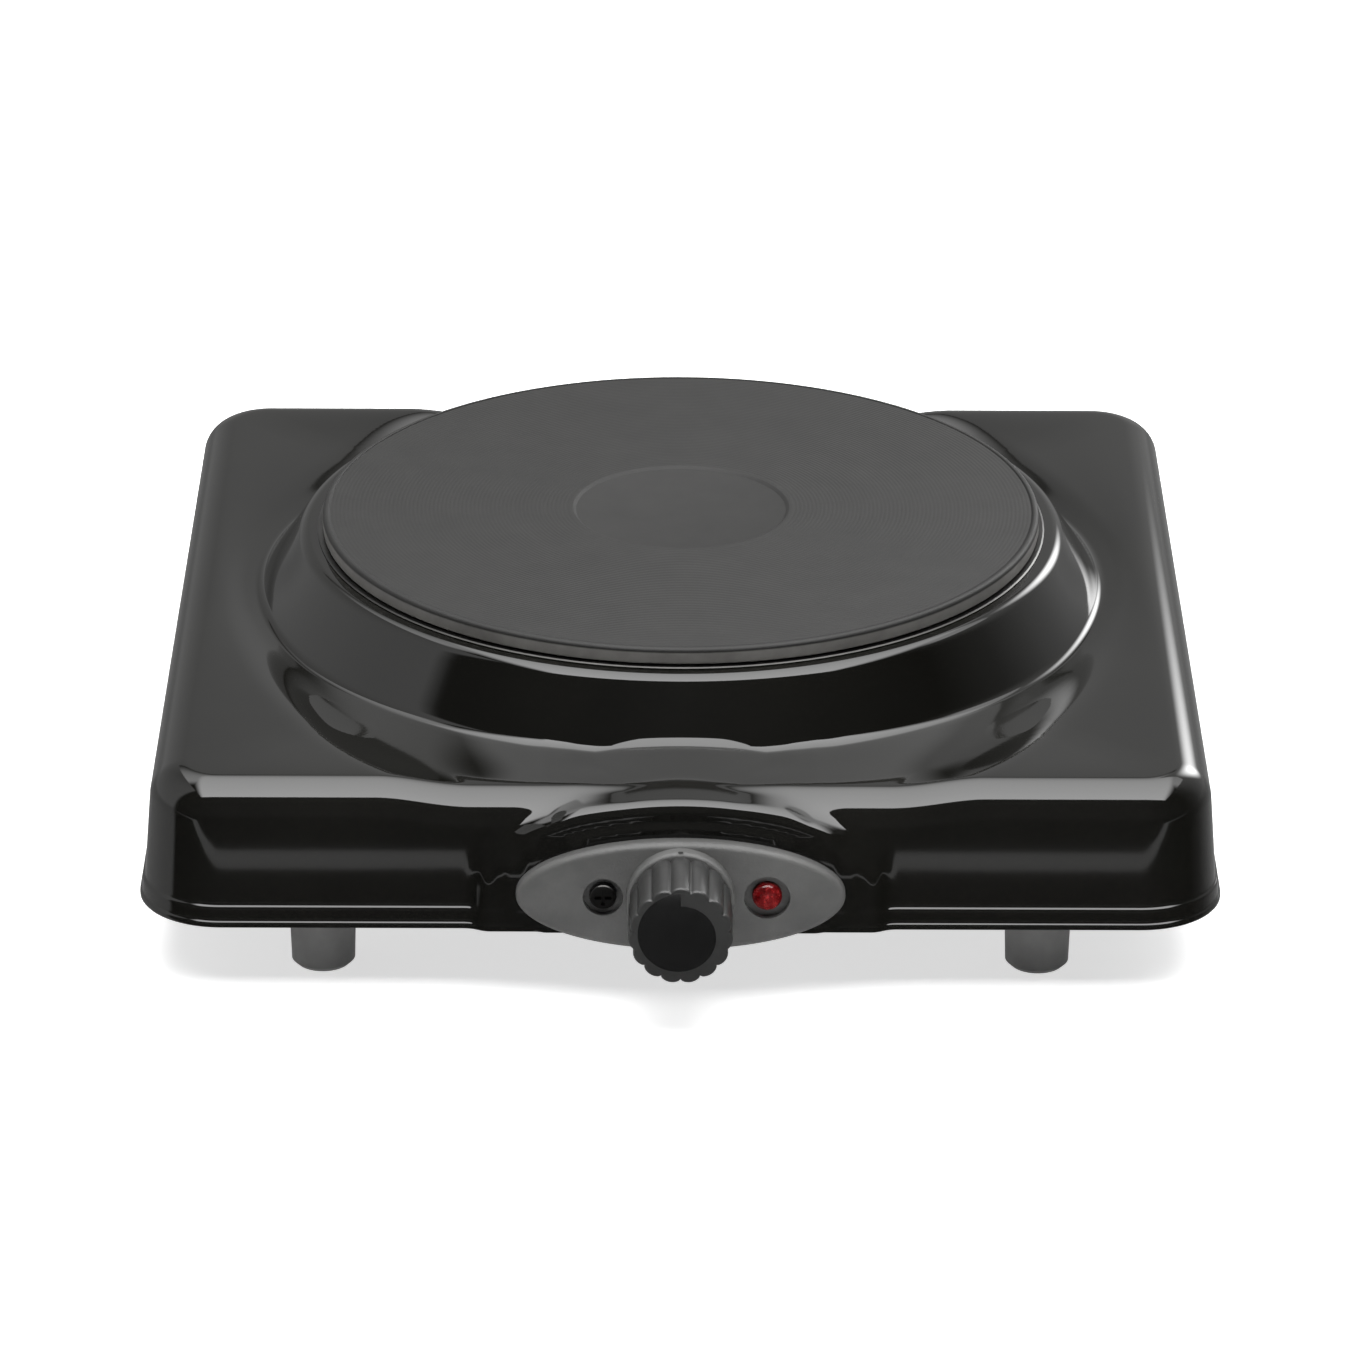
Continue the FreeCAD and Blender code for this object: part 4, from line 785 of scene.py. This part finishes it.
# ---------------------------------------------------------------- cooking plate
def cooking_plate():
    """Turned plate: sunk centre, fine concentric grooves, rounded flange and the narrower body below it."""
    top = PLATE_TOP
    sunk = top - SUNK_DEPTH
    profile = [(0.0, sunk), (SUNK_R - 1.0, sunk), (SUNK_R - 0.8, sunk + SUNK_EASE),
               (SUNK_R - 0.2, top - SUNK_EASE), (SUNK_R + 0.1, top)]
    radius = SUNK_R + 1.0
    while radius < PLATE_R - 2 * PLATE_EDGE_R:
        for quarter in range(4):
            depth = GROOVE_DEPTH * (1 - math.cos(math.pi * quarter / 2)) / 2
            profile.append((radius + GROOVE_PITCH * quarter / 4, top - depth))
        radius += GROOVE_PITCH
    corners = [(PLATE_R - 1.9, top), (PLATE_R, top), (PLATE_R, FLANGE_EDGE_BOTTOM),
               (FLANGE_R, FLANGE_BOTTOM)]
    profile += [tuple(p) for p in rounded(corners, [PLATE_EDGE_R, FLANGE_EDGE_R], 6)]
    profile += [(PLATE_BODY_R, FLANGE_BOTTOM), (PLATE_BODY_R, PLATE_BOTTOM), (0.0, PLATE_BOTTOM)]
    plate = turned("cooking_plate", profile[::-1], PLATE_SEGMENTS)
    finish_piece(plate, "chassis", "coated_iron", "hot_plate")


# ---------------------------------------------------------------- knob
def knob_radius(angle):
    """Scalloped outline: broad rounded ridges with narrow valleys between them."""
    wave = np.abs(np.cos(angle * RIDGES / 2))
    return KNOB_R - RIDGE_DEPTH * (1 - wave ** RIDGE_SHARPNESS)


def knob_stations():
    """(scale, shrink, y) of the rings from the middle of the face round the side into the hollow back."""
    face = KNOB_FRONT
    stations = [(scale, 0.0, face + 0.05) for scale in (0.02, 0.4, 0.75)]
    for k in range(7):
        a = math.pi / 2 * k / 6
        stations.append((1.0, KNOB_EDGE_R * (1 - math.sin(a)), face + KNOB_EDGE_R * (1 - math.cos(a))))
    stations += [(1.0, 0.0, y) for y in np.linspace(face + 1.4, KNOB_BACK - KNOB_BACK_EDGE, 6)]
    hollow = KNOB_BACK - KNOB_HOLLOW_DEPTH
    stations += [(1.0, 0.4, KNOB_BACK), (0.8, 0.0, KNOB_BACK), (KNOB_HOLLOW_SCALE, 0.0, hollow),
                 (0.02, 0.0, hollow)]
    return stations


def fluted_knob():
    """Knob as a tube of scalloped rings, closed by a small face at each end."""
    columns = RIDGES * RIDGE_SAMPLES
    angles = np.arange(columns) * 2 * math.pi / columns
    edge = knob_radius(angles)
    rings = []
    for scale, shrink, y in knob_stations():
        radius = (edge - shrink) * scale
        rings.append(np.column_stack([radius * np.sin(angles), np.full(columns, y),
                                      KNOB_Z + radius * np.cos(angles)]))
    rows = len(rings)
    faces = grid_faces(columns, rows)
    faces.append(tuple(c * rows for c in range(columns - 1, -1, -1)))
    faces.append(tuple(c * rows + rows - 1 for c in range(columns)))
    knob = to_object("knob_grip", np.stack(rings, axis=1).reshape(-1, 3), faces)
    finish_piece(knob, "control_knob", "knob_plastic", "knob")


# ---------------------------------------------------------------- studio
# Places are metres in the row frame and brightnesses are radiances.  A brightness list holds (place, value)
# pairs, the world's places being degrees from straight behind towards the right.  A fade holds where it
# starts and ends and, if given, the values that it has there.
CEILING_X = (-0.78, 1.0)
CEILING_Y = (-0.77, 2.0)
CEILING_Z = 1.2
CEILING_BRIGHTNESS = [(-0.77, 6.5), (-0.3, 5.9), (0.1, 5.2), (0.5, 4.2), (0.9, 3.1), (1.3, 1.9), (1.65, 0.8),
                      (2.0, 0.0)]
CEILING_LEAN = 0.2
CEILING_LEFT = (-0.72, -0.52)
CEILING_RIGHT = (1.0, 0.7)
CEILING_BEHIND = (0.1, 0.5, 0.0, 0.6)
UPRIGHT_PLACE = (0.57, 0.74, 0.42)
UPRIGHT_AIM = (0.1, -0.1, 0.05)
UPRIGHT_SIZE = (0.55, 0.75, 1.0)
UPRIGHT_FADE = (0.5, 0.05, 0.5, 10.0)
STRIP_HALF_W = 1.5
STRIP_Y = ((AXIS_Y - 266.0) * MM, (AXIS_Y - 250.0) * MM)
STRIP_Z = 0.0005
STRIP_BRIGHTNESS = 0.8
FLOOR_HALF_W = 12.0
FLOOR_GREY = 0.8
FLOOR_GLOW = 0.62
WORLD_BRIGHTNESS = [(-180.0, 0.12), (-106.0, 0.05), (-100.0, 0.88), (-70.0, 0.72), (-35.0, 0.42),
                    (-8.0, 0.36), (14.0, 0.5), (45.0, 0.52), (62.0, 0.4), (80.0, 0.15), (100.0, 0.03),
                    (180.0, 0.12)]
WORLD_HORIZON = (-0.1, 0.05, 0.65, 1.0)
CURVE_TOP = 8.0

LENS_MM = 189.16
SENSOR_MM = 36.0
CAMERA_DISTANCE = 1.8784
CAMERA_ELEVATION = math.radians(23.845)
CAMERA_ROLL = math.radians(0.234)
CAMERA_AZIMUTH = math.radians(-0.138)
CAMERA_TARGET = (0.00097, AXIS_Y * MM, 0.02077)


def flat_card(name, corners, height):
    """Level rectangle between two (x, y) corners in metres, facing down."""
    (x0, y0), (x1, y1) = corners
    points = [(x0, y0, height), (x0, y1, height), (x1, y1, height), (x1, y0, height)]
    mesh = bpy.data.meshes.new(name)
    mesh.from_pydata(points, [], [(0, 1, 2, 3)])
    obj = bpy.data.objects.new(name, mesh)
    bpy.context.scene.collection.objects.link(obj)
    return obj


def glow(obj, strength=1.0):
    """Emission on a card that the camera doesn't see; returns the node tree and the brightness socket."""
    material = bpy.data.materials.new(obj.name)
    material.use_nodes = True
    tree = material.node_tree
    tree.nodes.remove(tree.nodes["Principled BSDF"])
    emission = tree.nodes.new("ShaderNodeEmission")
    emission.inputs["Strength"].default_value = strength
    tree.links.new(emission.outputs["Emission"], tree.nodes["Material Output"].inputs["Surface"])
    obj.data.materials.append(material)
    obj.visible_camera = False
    return tree, emission.inputs["Strength"]


def curve(tree, value, stops):
    """Piecewise straight function of value given as (place, height), with heights up to CURVE_TOP."""
    start, end = stops[0][0], stops[-1][0]
    spread = math_node(tree, "DIVIDE", math_node(tree, "SUBTRACT", value, start), end - start)
    greys = [((at - start) / (end - start), (height / CURVE_TOP,) * 3) for at, height in stops]
    return math_node(tree, "MULTIPLY", colour_ramp(tree, spread, greys), CURVE_TOP)


def coordinate_axes(tree, kind):
    coordinates = tree.nodes.new("ShaderNodeTexCoord")
    return axes(tree, coordinates.outputs[kind])


def ceiling_softbox():
    """Large overhead softbox: brightest over the front, fading out behind the object."""
    card = flat_card("ceiling_softbox", list(zip(CEILING_X, CEILING_Y)), CEILING_Z)
    tree, brightness = glow(card)
    x, y, _ = coordinate_axes(tree, "Object")
    along = curve(tree, y, CEILING_BRIGHTNESS)
    lean = math_node(tree, "MULTIPLY", y, CEILING_LEAN)
    behind = fade(tree, y, *CEILING_BEHIND)
    left = fade(tree, math_node(tree, "SUBTRACT", x, lean), *CEILING_LEFT)
    right = fade(tree, math_node(tree, "ADD", x, lean), *CEILING_RIGHT)
    across = math_node(tree, "MULTIPLY", math_node(tree, "MAXIMUM", left, behind),
                       math_node(tree, "MAXIMUM", right, behind))
    tree.links.new(math_node(tree, "MULTIPLY", along, across), brightness)


def upright_softbox():
    """Soft round-edged box at the right and behind, which draws the bright line along the right edge."""
    card = flat_card("upright_softbox", ((-0.5, -0.5), (0.5, 0.5)), 0.0)
    card.location = UPRIGHT_PLACE
    aim = Vector(UPRIGHT_AIM) - Vector(UPRIGHT_PLACE)
    card.rotation_euler = aim.to_track_quat("-Z", "Y").to_euler()
    card.scale = UPRIGHT_SIZE
    tree, brightness = glow(card)
    x, y, _ = coordinate_axes(tree, "Object")
    reach = math_node(tree, "SQRT", square_sum(tree, x, y))
    tree.links.new(fade(tree, reach, *UPRIGHT_FADE), brightness)


def front_strip():
    """Narrow pale strip lying in front, seen only as the line across the front wall."""
    card = flat_card("front_strip", ((-STRIP_HALF_W, STRIP_Y[0]), (STRIP_HALF_W, STRIP_Y[1])), STRIP_Z)
    glow(card, STRIP_BRIGHTNESS)
    card.visible_diffuse = False
    card.visible_shadow = False


def studio_floor():
    """Evenly lit pale table: it glows a little, as a light table does, so that the shadow stays soft."""
    corners = ((-FLOOR_HALF_W, FLOOR_HALF_W), (FLOOR_HALF_W, -FLOOR_HALF_W))
    floor = flat_card("studio_floor", corners, 0.0)
    floor.data.flip_normals()
    material = new_material("studio_floor", (FLOOR_GREY,) * 3, 0.9, ior=1.3)
    shader = material.node_tree.nodes["Principled BSDF"]
    shader.inputs["Specular IOR Level"].default_value = 0.0
    shader.inputs["Emission Color"].default_value = (1.0, 1.0, 1.0, 1.0)
    shader.inputs["Emission Strength"].default_value = FLOOR_GLOW
    floor.data.materials.append(material)
    floor.visible_glossy = False


def studio_world():
    """Surroundings: grey at the left and behind, dark at the front and right."""
    world = bpy.data.worlds.new("studio")
    bpy.context.scene.world = world
    world.use_nodes = True
    tree = world.node_tree
    background = tree.nodes["Background"]
    background.inputs["Color"].default_value = (1.0, 1.0, 1.0, 1.0)
    x, y, z = coordinate_axes(tree, "Generated")
    turn = math_node(tree, "DIVIDE", math_node(tree, "ARCTAN2", x, y), math.radians(1.0))
    around = curve(tree, turn, WORLD_BRIGHTNESS)
    height = fade(tree, z, *WORLD_HORIZON)
    tree.links.new(math_node(tree, "MULTIPLY", around, height), background.inputs["Strength"])


def studio_camera():
    """Long lens from the front and above, as a catalogue picture is taken."""
    camera = bpy.data.cameras.new("camera")
    camera.lens = LENS_MM
    camera.sensor_width = SENSOR_MM
    camera.clip_end = 100.0
    obj = bpy.data.objects.new("camera", camera)
    bpy.context.scene.collection.objects.link(obj)
    flat = math.cos(CAMERA_ELEVATION)
    back = Vector((math.sin(CAMERA_AZIMUTH) * flat, -math.cos(CAMERA_AZIMUTH) * flat,
                   math.sin(CAMERA_ELEVATION)))
    right = (-back).cross(Vector((0, 0, 1))).normalized()
    above = right.cross(-back)
    side = right * math.cos(CAMERA_ROLL) + above * math.sin(CAMERA_ROLL)
    top = -right * math.sin(CAMERA_ROLL) + above * math.cos(CAMERA_ROLL)
    turn = Matrix((side, top, back)).transposed().to_4x4()
    obj.matrix_world = Matrix.Translation(Vector(CAMERA_TARGET) + back * CAMERA_DISTANCE) @ turn
    bpy.context.scene.camera = obj


def studio():
    studio_camera()
    studio_floor()
    studio_world()
    ceiling_softbox()
    upright_softbox()
    front_strip()
    bpy.context.scene.view_settings.view_transform = "Standard"
    bpy.context.scene.view_settings.look = "None"


# ---------------------------------------------------------------- the whole
def paint_cad_nodes():
    """Every CAD node that stays gets the material of its slot."""
    slots = {row["node"]: row["material_slot"] for row in frame["record"]["subparts"]}
    for name, obj in frame["nodes"].items():
        obj.data.materials.clear()
        obj.data.materials.append(slot_material(slots[name]))


paint_cad_nodes()
housing_shell()
cooking_plate()
fluted_knob()
studio()
